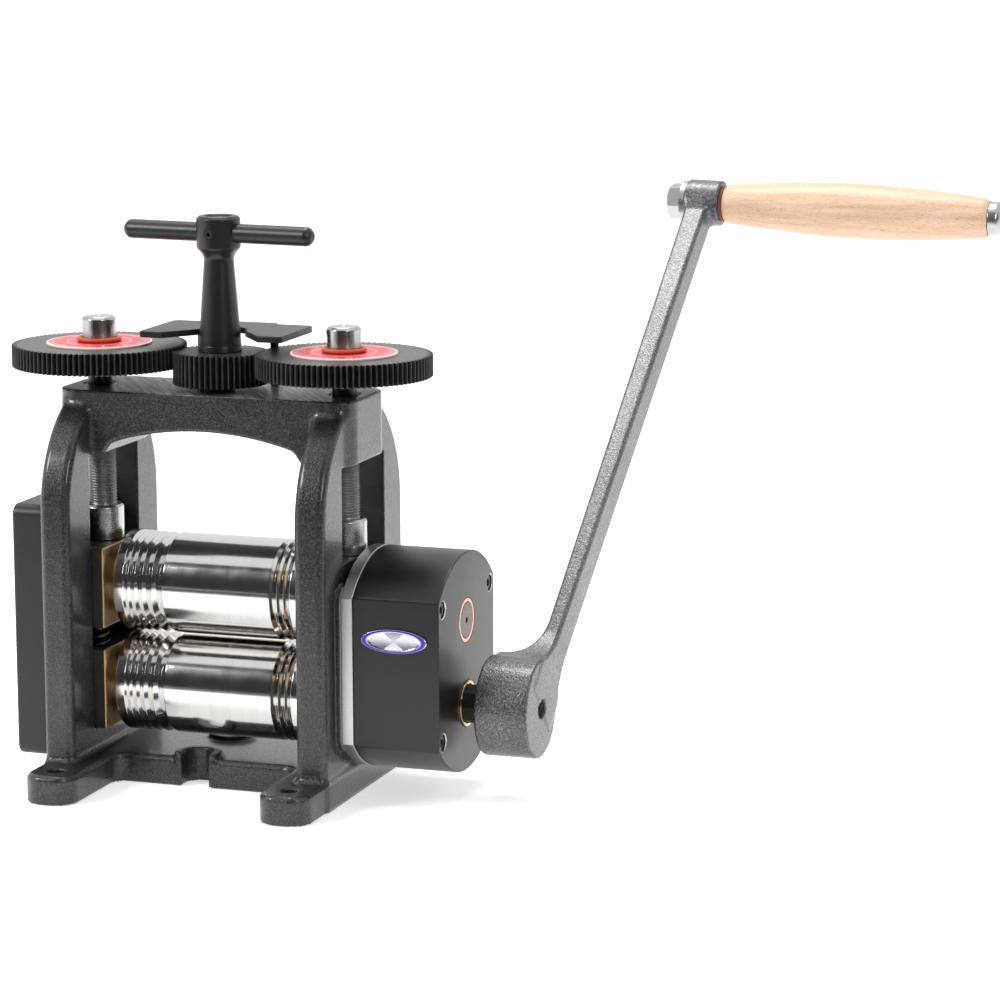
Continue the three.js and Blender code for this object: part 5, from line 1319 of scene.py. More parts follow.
@dataclass(frozen=True)
class Rolls:
    """The two grooved rolls in their bearing blocks, and the springs between them."""

    radius: float = 27.75
    half: float = 55.0
    chamfer: float = 0.8
    wire_grooves: tuple[float, float, float, int] = (-49.2, 3.3, 1.19, 5)
    fine_grooves: tuple[float, float, float, int] = (49.4, 3.5, 1.12, 3)
    collar: Pair = (58.2, 18.0)
    journal: Pair = (83.7, 15.0)
    seat: Pair = (-97.5, 11.0)
    shaft: tuple[Pair, Pair] = ((95.2, 12.0), (111.5, 11.0))
    lower_z: float = CRANK_Z
    upper_z: float = 107.8
    block_x: Pair = (58.5, 82.0)
    block_half: Pair = (31.0, 22.2)
    block_corner: float = 0.8
    bore: float = 15.3
    block_edge: float = 0.7
    pocket: Pair = (3.0, 5.4)
    spring: Triple = (66.0, 20.0, 3.9)
    spring_wire: float = 0.85
    spring_z: Pair = (70.6, 87.7)
    spring_turns: float = 3.5
    turn_steps: int = 40

    def groove_row(self, start: float, width: float, growth: float, count: int,
                   side: int) -> list[tuple[float, ...]]:
        """V grooves with their crests just broken.

        Args:
            start: Where the row starts, mm.
            width: The first groove's width.
            growth: How much wider each groove is than the last.
            count: How many there are.
            side: 1 to the right and -1 to the left.

        Returns:
            The row's profile points.
        """
        points: list[tuple[float, ...]] = [(start, self.radius, 0.22)]
        for _ in range(count):
            points.append((start + side * width / 2, self.radius - width / 2, 0.12))
            start += side * width
            points.append((start, self.radius, 0.22))
            width *= growth
        return points

    def profile(self) -> list[tuple[float, ...]]:
        """The profile from the gear seat to the right journal."""
        half, radius = self.half, self.radius
        collar, collar_radius = self.collar
        journal, journal_radius = self.journal
        left = [(-journal, journal_radius, 0.5), (-collar, journal_radius),
                (-collar, collar_radius, 0.3), (-half, collar_radius),
                (-half, radius - self.chamfer, 0.2), (-half + self.chamfer, radius, 0.3)]
        right = [(-point[0], *point[1:]) for point in reversed(left)]
        return [self.seat, (-journal, self.seat[1]), *left,
                *self.groove_row(*self.wire_grooves, 1),
                *self.groove_row(*self.fine_grooves, -1)[::-1], *right]

    def roll(self, name: str, height: float, tail: Sequence[Pair]) -> None:
        """Turns and grinds one roll.

        Args:
            name: The CAD node that it stands for, and its body.
            height: Its axis over the ground, mm.
            tail: What follows the right journal.
        """
        finish = TurnedSteel(f"Steel_{name}", "roll_steel", Axis.X, (0.0, height),
                             (0.78, 0.765, 0.74), (0.55, 0.53, 0.51), 0.13, 0.1, 0.16, 0.006)
        mesh = lathe([*self.profile(), *tail], Axis.X, (0.0, 0.0, height), 160, sharp=24)
        add_piece(mesh, f"{name}_turned", name, finish, name)

    def block(self, name: str, body: str, side: int, height: float, facing: int) -> None:
        """Machines one bearing block.

        Args:
            name: The CAD node that it stands for.
            body: The body that it moves with.
            side: 1 on the right and -1 on the left.
            height: Its bore's height, mm.
            facing: 1 where its spring pockets look up and -1 where they look down.
        """
        low, high = sorted(side * x for x in self.block_x)
        half_y, half_z = self.block_half
        outline = rounded_corners([(y * half_y, height + z * half_z, self.block_corner)
                                   for y, z in ((-1, -1), (1, -1), (1, 1), (-1, 1))], 3)
        hole = hole_points((0.0, height), self.bore, 72)
        mesh = plate(outline, [hole], Axis.X, low, high, self.block_edge)
        depth, radius = self.pocket
        face = height + facing * half_z
        bottom, top = sorted((face - depth * facing, face + facing))
        for back in (1, -1):
            tool = lathe([(bottom, radius), (top, radius)], Axis.Z,
                         (side * self.spring[0], back * self.spring[1], 0.0), 32)
            mesh = carved(mesh, tool)
        add_piece(mesh, f"{name}_block", body, BRONZE, name)

    def lifting_spring(self, name: str, side: int, back: int) -> None:
        """Winds one lifting spring of round wire.

        Args:
            name: The CAD node that it stands for.
            side: 1 on the right and -1 on the left.
            back: 1 at the back and -1 at the front.
        """
        x, y, coil = self.spring
        turns = np.linspace(0, self.spring_turns, int(self.spring_turns * self.turn_steps) + 1)
        low, high = self.spring_z[0] + self.spring_wire, self.spring_z[1] - self.spring_wire
        angle = 2 * np.pi * turns
        path = np.stack([side * x + coil * np.cos(angle), back * y + coil * np.sin(angle),
                         low + (high - low) * turns / self.spring_turns], axis=1)
        add_piece(sweep(path, self.spring_wire), f"{name}_wire", "frame", SPRING, name)

    def build(self) -> None:
        """Makes the rolls, the blocks and the springs."""
        (gear_x, shaft_radius), (end_x, seat_radius) = self.shaft
        self.roll("upper_roll", self.upper_z, ())
        self.roll("lower_roll", self.lower_z, (
            (self.journal[0], shaft_radius), (gear_x, shaft_radius), (gear_x, seat_radius),
            (end_x, seat_radius)))
        for word, side in (("left", -1), ("right", 1)):
            self.block(f"lower_bearing_{word}", "frame", side, self.lower_z, 1)
            self.block(f"upper_bearing_{word}", "carriage", side, self.upper_z, -1)
            for depth, back in (("front", -1), ("back", 1)):
                self.lifting_spring(f"spring_{word}_{depth}", side, back)


@dataclass(frozen=True)
class CapScrews:
    """Four socket cap screws along X, at the corners of a rectangle."""

    name: str
    half_y: float
    z: Pair
    face: float
    tip: float
    side: int
    shank: float = 2.5
    head: float = 4.25
    height: float = 5.0
    socket: float = 2.3

    def single(self) -> Mesh:
        """One screw, about the origin of Y and Z."""
        face, side = self.face, self.side
        shoulder = face - side * self.height
        body = lathe([(self.tip, self.shank - 0.4), (self.tip + side * 0.6, self.shank),
                      (shoulder, self.shank),
                      (shoulder, self.head, 0.2), (face, self.head, 0.5),
                      (face, self.socket * 1.22), (face - side * 0.25, self.socket * 1.02),
                      (face - side * 0.3, 0.0)], Axis.X, segments=36)
        hexagon = lathe([(face + side, self.socket), (face - side * 2.5, self.socket)], Axis.X,
                        segments=6)
        return carved(body, hexagon)

    def build(self) -> None:
        """Repeats the screw at the four corners."""
        low, high = self.z
        tree = Repeater(self.name, SCREW_OXIDE, Width=2 * self.half_y * MM,
                        Height=(high - low) * MM)
        grid = tree.node("GeometryNodeMeshGrid", {}, {
            "Size X": tree.source["Height"], "Size Y": tree.source["Width"],
            "Vertices X": 2, "Vertices Y": 2})
        upright = tree.node("GeometryNodeTransform", {}, {
            0: grid.outputs[0], "Rotation": (0.0, math.pi / 2, 0.0)})
        mesh = tree.run(upright, self.single(),
                        Matrix.Translation((0.0, 0.0, (low + high) / 2)))
        add_piece(mesh, self.name, "frame", SCREW_OXIDE,
                  *(f"{self.name[:-1]}_{i}" for i in range(1, 5)))


@dataclass(frozen=True)
class Gearbox:
    """The reduction gearbox: backplate, housing, bushes, screws and badge."""

    plate_x: Pair = (85.8, 92.4)
    plate_holes: Pair = (12.3, 10.1)
    housing_x: Pair = (92.5, 141.1)
    wall_x: float = 133.1
    radius: float = 60.2
    centre_z: float = 74.7
    half_width: float = 45.2
    crank_bush: Triple = (12.5, 10.8, 142.1)
    counter_bush: Triple = (12.0, 10.05, 141.1)
    screw_y: float = 38.4
    screw_z: Pair = (38.3, 110.4)
    screw_x: Pair = (140.1, 70.4)
    recess: float = 4.55
    rooms: Pair = (33.2, 34.2)
    badge: Quad = (116.1, 93.3, 18.65, 6.5)
    badge_y: Pair = (-46.5, -45.25)
    badge_sides: int = 128

    def outline(self) -> list[Pair]:
        """The gearbox outline seen along X: a circle cut flat at both sides."""
        corner = math.degrees(math.acos(self.half_width / self.radius))
        centre = (0.0, self.centre_z)
        return (arc_points(centre, self.radius, corner, 180 - corner, 48)
                + arc_points(centre, self.radius, 180 + corner, 360 - corner, 48))

    def housing(self) -> None:
        """Mills the housing, hollow for the gears, with its bores and screw recesses."""
        holes = [hole_points((0.0, CRANK_Z), self.crank_bush[0] + 0.05, 64),
                 hole_points((0.0, COUNTER_Z), self.counter_bush[0] + 0.05, 64)]
        holes += [hole_points((side * self.screw_y, z), self.recess, 32)
                  for side in (1, -1) for z in self.screw_z]
        start, end = self.housing_x
        mesh = plate(self.outline(), holes, Axis.X, start, end, 0.7, 3)
        for height, radius in zip((COUNTER_Z, CRANK_Z), reversed(self.rooms)):
            mesh = carved(mesh, lathe([(start - 1, radius), (self.wall_x, radius)], Axis.X,
                                      (0.0, 0.0, height)))
        add_piece(mesh, "housing_shell", "frame", HOUSING_BLACK, "gearbox_housing")

    def backplate(self) -> None:
        """Mills the bare backplate."""
        holes = [hole_points((0.0, CRANK_Z), self.plate_holes[0], 64),
                 hole_points((0.0, COUNTER_Z), self.plate_holes[1], 48)]
        mesh = plate(self.outline(), holes, Axis.X, *self.plate_x, 0.5)
        add_piece(mesh, "backplate_sheet", "frame", PLATE_METAL, "gearbox_backplate")

    def bush(self, names: tuple[str, str], finish: Finish, height: float, size: Triple,
             eases: Pair) -> None:
        """Turns a bush that shows on the face.

        Args:
            names: The piece's name and the CAD node's.
            finish: Its finish.
            height: Its axis over the ground, mm.
            size: Its outer and inner radius and its face's X, mm.
            eases: The radii of its inner and outer edge, mm.
        """
        outer, inner, face = size
        mesh = lathe([(self.wall_x, inner), (face, inner, eases[0]), (face, outer, eases[1]),
                      (self.wall_x, outer)], Axis.X, (0.0, 0.0, height), ring=True)
        add_piece(mesh, names[0], "frame", finish, names[1])

    def badge_piece(self) -> None:
        """Presses the blank oval badge, raised at its rim."""
        x, z, half_x, half_z = self.badge
        front, back = self.badge_y
        share, y = np.array((
            (1.0, back), (1.0, front + 0.45), (0.985, front + 0.12), (0.95, front), (0.80, front),
            (0.76, front + 0.1), (0.72, front + 0.42), (0.0, front + 0.3))).T[:, :, None]
        angle = round_angles(self.badge_sides)
        rings = np.stack(np.broadcast_arrays(x + half_x * share * np.cos(angle), y,
                                             z + half_z * share * np.sin(angle)), axis=-1)
        add_piece(skin(rings, 50), "badge_oval", "frame", BADGE, "badge_plate")

    def build(self) -> None:
        """Makes the gearbox's outside."""
        self.backplate()
        self.housing()
        self.bush(("crank_bush_ring", "crank_bush"), BUSH_GOLD, CRANK_Z, self.crank_bush,
                  (0.3, 0.4))
        self.bush(("counter_bush_ring", "counter_bush_outer"), BUSH_COPPER, COUNTER_Z,
                  self.counter_bush, (0.2, 0.2))
        CapScrews("gearbox_screws", self.screw_y, self.screw_z, *self.screw_x, 1).build()
        self.badge_piece()


@dataclass(frozen=True)
class Gear:
    """A black spur gear of module 1 that lies flat, cut from one repeated tooth."""

    name: str
    body: str
    teeth: int
    z: Pair
    bore: float
    x: float = 0.0
    phase: float = 0.0
    pressure: float = math.radians(20)
    chamfer: float = 0.45
    rim: float = 3.0
    worn_rim: float = 0.35

    def outline(self) -> list[Pair]:
        """One pitch of the gear as angles and radii, from gap to gap over a tooth."""
        middle = self.teeth / 2
        base = middle * math.cos(self.pressure)
        half_tooth = math.pi / 2 / self.teeth - 0.125 / middle
        involute = math.tan(self.pressure) - self.pressure

        def flank(radius: float) -> float:
            """The half angle of the tooth at a radius."""
            turn = math.acos(min(1.0, base / max(radius, base)))
            return half_tooth + involute - (math.tan(turn) - turn)

        tip, root, step = middle + 1.0, middle - 2.45, math.pi / self.teeth
        radii = (root + 0.35, middle - 1.2, middle - 0.4, middle + 0.4, tip - 0.08)
        half = [(step, root), (step * 0.93, root + 0.1), *((flank(r), r) for r in radii),
                (flank(tip) * 0.7, tip)]
        return [(-angle, radius) for angle, radius in half] + half[::-1]

    def tooth(self) -> Mesh:
        """One tooth and the rim below it: an open sector in metres, about the origin."""
        (low, high), outline = self.z, self.outline()
        tip, (edge, root) = max(outline, key=lambda spot: spot[1])[1], outline[-1]
        places: list[Triple] = []

        def row(spots: Sequence[Pair], z: float, inset: float = 0.0) -> list[int]:
            """Adds points at a height, none beyond the tip less the inset, and numbers them."""
            for angle, radius in spots:
                reach = min(radius, tip - inset)
                places.append((reach * math.cos(angle), reach * math.sin(angle), z))
            return list(range(len(places) - len(spots), len(places)))

        ease = self.chamfer
        rows = [row(outline, z, inset) for z, inset in (
            (low, ease), (low + ease, 0.0), (high - ease, 0.0), (high, ease))]
        rims = [row([(angle, radius) for radius in (root - self.rim, self.bore)
                     for angle in (-edge, 0.0, edge)], z) for z in self.z]
        faces: list[tuple[int, ...]] = []
        for lower, upper in zip(rows, rows[1:]):
            faces += zip(lower, lower[1:], upper[1:], upper)
        for ring, rim, way in ((rows[0], rims[0], 1), (rows[-1], rims[1], -1)):
            a, b, c, d, e, f = rim
            cap = ((*ring, c, b, a), (a, b, e, d), (b, c, f, e))
            faces += [face[::-way] for face in cap]
        (*_, a, b, c), (*_, d, e, f) = rims
        faces += [(a, b, e, d), (b, c, f, e)]
        return mesh_of(places, faces)

    def circle(self, finish: Finish) -> Mesh:
        """The tooth repeated round the gear's axis."""
        tree = Repeater(f"Teeth_{self.name}", finish, Count=self.teeth)
        count = tree.source["Count"]
        points = tree.node("GeometryNodePoints", {}, {"Count": count})
        number = tree.node("GeometryNodeInputIndex")
        step = tree.node("ShaderNodeMath", {"operation": "DIVIDE"}, {0: 2 * math.pi, 1: count})
        angle = tree.node("ShaderNodeMath", {"operation": "MULTIPLY"},
                          {0: number.outputs[0], 1: step.outputs[0]})
        turn = tree.node("ShaderNodeCombineXYZ", {}, {2: angle.outputs[0]})
        place = Matrix.Translation((self.x, 0.0, 0.0)) @ Matrix.Rotation(self.phase, 4, "Z")
        return tree.run(points, self.tooth(), place, Rotation=turn.outputs[0])

    def build(self) -> None:
        """Cuts the gear and blacks it."""
        # Brown wear on the teeth beyond the pitch circle; the lighter lines on the top face are
        # painted sheen.
        finish = BlackOxide(f"Oxide_{self.name}", "black_oxide", (0.012, 0.012, 0.013),
                            (0.065, 0.047, 0.036), self.x, self.teeth / 2 + self.worn_rim,
                            self.z[1] - 0.05, 0.34)
        mesh = closed(self.circle(finish), 32)
        add_piece(mesh, f"{self.name}_cut", self.body, finish, self.name)


@dataclass(frozen=True)
class Screwdown:
    """The pressure screws with their feet, dial gears, labels, rings and caps."""

    screw_x: float = 72.0
    foot: Triple = (11.5, 130.1, 149.5)
    foot_bore: float = 5.3
    spigot: Pair = (5.0, 141.6)
    thread: Triple = (8.0, 149.6, 217.0)
    pitch: float = 1.5
    thread_depth: float = 0.915
    thread_flat: float = 0.1
    thread_ease: float = 1.2
    thread_sides: int = 48
    pitch_steps: int = 8
    shank: Pair = (6.75, 226.9)
    neck: Pair = (5.5, 247.9)
    dial_teeth: int = 94
    dial_z: Pair = (227.0, 239.0)
    dial_bore: float = 5.6
    pinion_teeth: int = 50
    pinion_z: Pair = (219.8, 237.5)
    pinion_bore: float = 7.8
    label: Triple = (29.0, 239.1, 240.1)
    ring: Triple = (11.0, 1.25, 241.45)
    cap: Triple = (9.45, 240.2, 254.0)
    cap_bore: Pair = (5.7, 7.9)

    def threaded(self, word: str, x: float) -> None:
        """Cuts a pressure screw with a real helical thread.

        Args:
            word: The side's name.
            x: The screw's place along X, mm.
        """
        radius, start, end = self.thread
        turn = np.arange(self.thread_sides) / self.thread_sides
        z = np.linspace(start, end, int((end - start) / self.pitch * self.pitch_steps) + 1)[:, None]
        wave = np.abs((z / self.pitch + turn) % 1.0 - 0.5) * 2
        cut = self.thread_depth * np.clip((wave - self.thread_flat) / (1 - 2 * self.thread_flat), 0, 1)
        ease = np.minimum(1.0, (z - start) / self.thread_ease)
        reach = radius - 0.35 * (1 - ease) - cut * ease
        (shank, top), (neck, neck_top) = self.shank, self.neck

        def plain(*rows: Pair) -> tuple[np.ndarray, np.ndarray]:
            """Heights and radii of round rings."""
            heights, radii = np.array(rows).T[:, :, None]
            return heights, radii * np.ones(self.thread_sides)

        parts = (plain((self.spigot[1], self.spigot[0]), (start, self.spigot[0])), (z, reach),
                 plain((end, shank), (top - 0.4, shank), (top, shank - 0.4), (top, neck),
                       (neck_top, neck)))
        heights, reach = (np.concatenate(rows) for rows in zip(*parts))
        angle = round_angles(self.thread_sides)
        rings = np.stack(np.broadcast_arrays(x + reach * np.cos(angle), reach * np.sin(angle),
                                             heights), axis=-1)
        add_piece(skin(rings, 40), f"pressure_screw_{word}_cut", f"{word}_screw", THREAD_ZINC,
                  f"pressure_screw_{word}")

    def bright(self, name: str, x: float, rough: float) -> TurnedSteel:
        """Bright turned steel about one pressure screw."""
        return TurnedSteel(name, "plain_steel", Axis.Z, (x, 0.0), (0.60, 0.59, 0.575),
                           (0.30, 0.29, 0.285), rough, 0.1, 0.2, 0.008)

    def side(self, word: str, x: float, phase: float) -> None:
        """Makes one screw with all that turns or slides with it.

        Args:
            word: The side's name.
            x: The screw's place along X, mm.
            phase: How far the dial's first tooth is turned from +X, in radians.
        """
        at, body = (x, 0.0, 0.0), f"{word}_screw"
        self.threaded(word, x)
        radius, low, high = self.foot
        deep = self.spigot[1] - 0.4
        mesh = lathe([(deep, 0.0), (deep, self.foot_bore), (high, self.foot_bore, 0.4),
                      (high, radius - 1.1, 0.3), (high - 1.1, radius, 0.3),
                      (low + 0.5, radius, 0.2), (low, radius - 0.5), (low, 0.0)], Axis.Z, at)
        add_piece(mesh, f"foot_{word}_turned", "carriage", self.bright(f"Foot_{word}", x, 0.26),
                  f"screw_foot_{word}")
        Gear(f"dial_gear_{word}", body, self.dial_teeth, self.dial_z, self.dial_bore, x,
             phase).build()
        bore, depth = self.cap_bore
        radius, low, high = self.label
        mesh = lathe([(low, bore), (high, bore), (high, radius, 0.5), (low, radius)], Axis.Z, at,
                     128, ring=True)
        add_piece(mesh, f"label_{word}_disc", body, DialLabel(f"Label_{word}", "red_label", x),
                  f"dial_label_{word}")
        middle, section, height = self.ring
        mesh = lathe([(height + section * math.sin(t), middle + section * math.cos(t))
                      for t in round_angles(20)], Axis.Z, at, ring=True, sharp=90)
        add_piece(mesh, f"oring_{word}_round", body, RING_RUBBER, f"dial_oring_{word}")
        radius, low, high = self.cap
        mesh = lathe([(low + depth, 0.0), (low + depth, bore), (low, bore), (low, radius, 0.3),
                      (high - 1.4, radius, 0.35), (high, radius - 1.4, 0.35), (high, 2.1, 0.2),
                      (high - 1.2, 0.0)], Axis.Z, at)
        add_piece(mesh, f"cap_{word}_turned", body, self.bright(f"Cap_{word}", x, 0.22),
                  f"dial_cap_{word}")

    def build(self) -> None:
        """Makes both sides and the pinion."""
        phase = math.pi / self.dial_teeth
        self.side("left", -self.screw_x, phase)
        self.side("right", self.screw_x, phase + math.pi)
        Gear("pinion_gear", "tee_handle", self.pinion_teeth, self.pinion_z,
             self.pinion_bore).build()


@dataclass(frozen=True)
class TeeHandle:
    """The tee handle: a tapered stem and its cross bar."""

    spindle: Pair = (7.7, 203.4)
    foot: Pair = (11.9, 237.6)
    neck: Pair = (7.95, 289.4)
    head: Triple = (12.0, 294.0, 311.3)
    recess: Pair = (8.0, 1.5)
    bar_z: float = 302.0
    bar_radius: float = 5.25
    bar_half: float = 57.5
    bar_nose: float = 2.6
    bar_turn: float = -5.8
    grub: float = 2.5
    drill: float = 30.0

    def hole(self, axis: Axis, radius: float, end: float, segments: int) -> Mesh:
        """A drill through the head, for a rod of the given radius, that stops at an end."""
        turn = Matrix.Rotation(math.radians(self.bar_turn), 4, "Z")
        return lathe([(-self.drill, radius + 0.1), (end, radius + 0.1)], axis,
                     (0.0, 0.0, self.bar_z), segments, turn=turn)

    def build(self) -> None:
        """Turns the stem, drills it and sets the bar."""
        spindle, spindle_z = self.spindle
        foot, foot_z = self.foot
        neck, neck_z = self.neck
        head, head_low, head_top = self.head
        recess, depth = self.recess
        mesh = lathe([
            (spindle_z, 0.0), (spindle_z, spindle - 0.5), (spindle_z + 0.5, spindle),
            (foot_z, spindle), (foot_z, foot, 0.4), (foot_z + 3.2, foot - 0.22),
            (foot_z + 3.35, foot - 0.5), (foot_z + 3.8, foot - 0.5), (foot_z + 3.95, foot - 0.3),
            (neck_z, neck, 5.0), (head_low, head, 0.8), (head_top - 1.5, head, 0.4),
            (head_top, head - 1.5, 0.4), (head_top, recess, 0.3),
            (head_top - depth, recess - depth, 0.2), (head_top - depth, 0.0)],
            Axis.Z, segments=128)
        mesh = carved(mesh, self.hole(Axis.X, self.bar_radius, self.drill, 64))
        mesh = carved(mesh, self.hole(Axis.Y, self.grub, 0.0, 40))
        add_piece(mesh, "tee_stem_turned", "tee_handle", STEM_OXIDE, "tee_stem")
        half, radius, nose = self.bar_half, self.bar_radius, self.bar_nose
        mesh = lathe([(-half, 0.0), (-half, radius - nose, 1.0), (-half + nose, radius, 1.6),
                      (half - nose, radius, 1.6), (half, radius - nose, 1.0), (half, 0.0)],
                     Axis.X, (0.0, 0.0, self.bar_z), 64, sharp=60,
                     turn=Matrix.Rotation(math.radians(self.bar_turn), 4, "Z"))
        add_piece(mesh, "tee_bar_rod", "tee_handle", PLAIN_OXIDE, "tee_bar")


@dataclass(frozen=True)
class IndexPlate:
    """The plate over the dials, on two posts."""

    z: Pair = (245.2, 248.7)
    edge: float = 0.45
    half: float = 41.5
    front: float = -15.0
    back: float = 34.0
    tail: Triple = (19.0, 18.0, 38.5)
    mouth: Pair = (28.0, -15.5)
    slot: Pair = (13.0, 4.0)
    post: Triple = (21.5, 25.0, 1.7)

    def build(self) -> None:
        """Cuts the plate."""
        tail, tail_end, tail_y = self.tail
        right = [self.mouth, (self.half, self.front, 2), (self.half, self.back, 4),
                 (tail, self.back), (tail_end, tail_y)]
        left = [(-point[0], *point[1:]) for point in reversed(right)]
        outline = rounded_corners(right + left, 6)
        outline += arc_points((0.0, self.slot[1]), self.slot[0], 180, 0, 32)
        post_x, post_y, radius = self.post
        holes = [hole_points((side * post_x, post_y), radius, 32) for side in (1, -1)]
        mesh = plate(outline, holes, Axis.Z, *self.z, self.edge)
        add_piece(mesh, "index_plate_cut", "frame", INDEX_OXIDE, "index_plate")


@dataclass(frozen=True)
class Cover:
    """The deep tray over the roll gears on the left."""

    x: Pair = (-106.0, -82.7)
    half: float = 45.0
    z: Pair = (14.4, 154.5)
    wall: float = 2.8
    corner: float = 6.0
    edge: float = 1.5
    screw_y: float = 38.0
    screw_z: Pair = (23.9, 145.0)
    screw_x: Pair = (-105.0, -70.4)
    recess: Pair = (4.6, 5.1)
    boss: float = 6.0
    foot_room: Quad = (-72.0, 12.1, 148.0, 170.0)
    cell: float = 0.95

    def shell(self, inset: float, edge: float) -> Solid:
        """The tray's outside, pushed in from all its faces but the open one."""
        low, high = self.z
        section = bar(Axis.X, (self.half - inset, (high - low) / 2 - inset),
                      self.corner - inset, (0.0, (low + high) / 2))
        return section.common(over(Axis.X, self.x[0] + inset), edge)

    def pins(self, radius: float) -> Solid:
        """Round bars along X at the four screws."""
        low, high = self.screw_z
        return Solid(lambda p: np.hypot(
            np.abs(p[:, 1]) - self.screw_y,
            np.abs(p[:, 2] - (low + high) / 2) - (high - low) / 2) - radius)

    def solid(self) -> Solid:
        """The tray with its bosses, screw recesses and room for the screw foot."""
        recess = self.pins(self.recess[0]).common(
            below(Axis.X, self.screw_x[0] + self.recess[1]))
        x, radius, low, high = self.foot_room
        room = pillar(Axis.Z, radius, (x, 0.0)).common(slab(Axis.Z, low, high))
        inner = self.shell(self.wall, 1.0).without(self.pins(self.boss))
        body = self.shell(0.0, self.edge).without(inner, 0.6)
        return body.without(recess, 0.5).without(room, 0.5).common(below(Axis.X, self.x[1]), 0.4)

    def build(self) -> None:
        """Casts the tray and sets its screws."""
        low, high = zip(self.x, (-self.half, self.half), self.z)
        mesh = casting(self.solid(), low, high, self.cell)
        add_piece(mesh, "cover_tray", "frame", COVER_BLACK, "left_cover")
        CapScrews("cover_screws", self.screw_y, self.screw_z, *self.screw_x, -1).build()


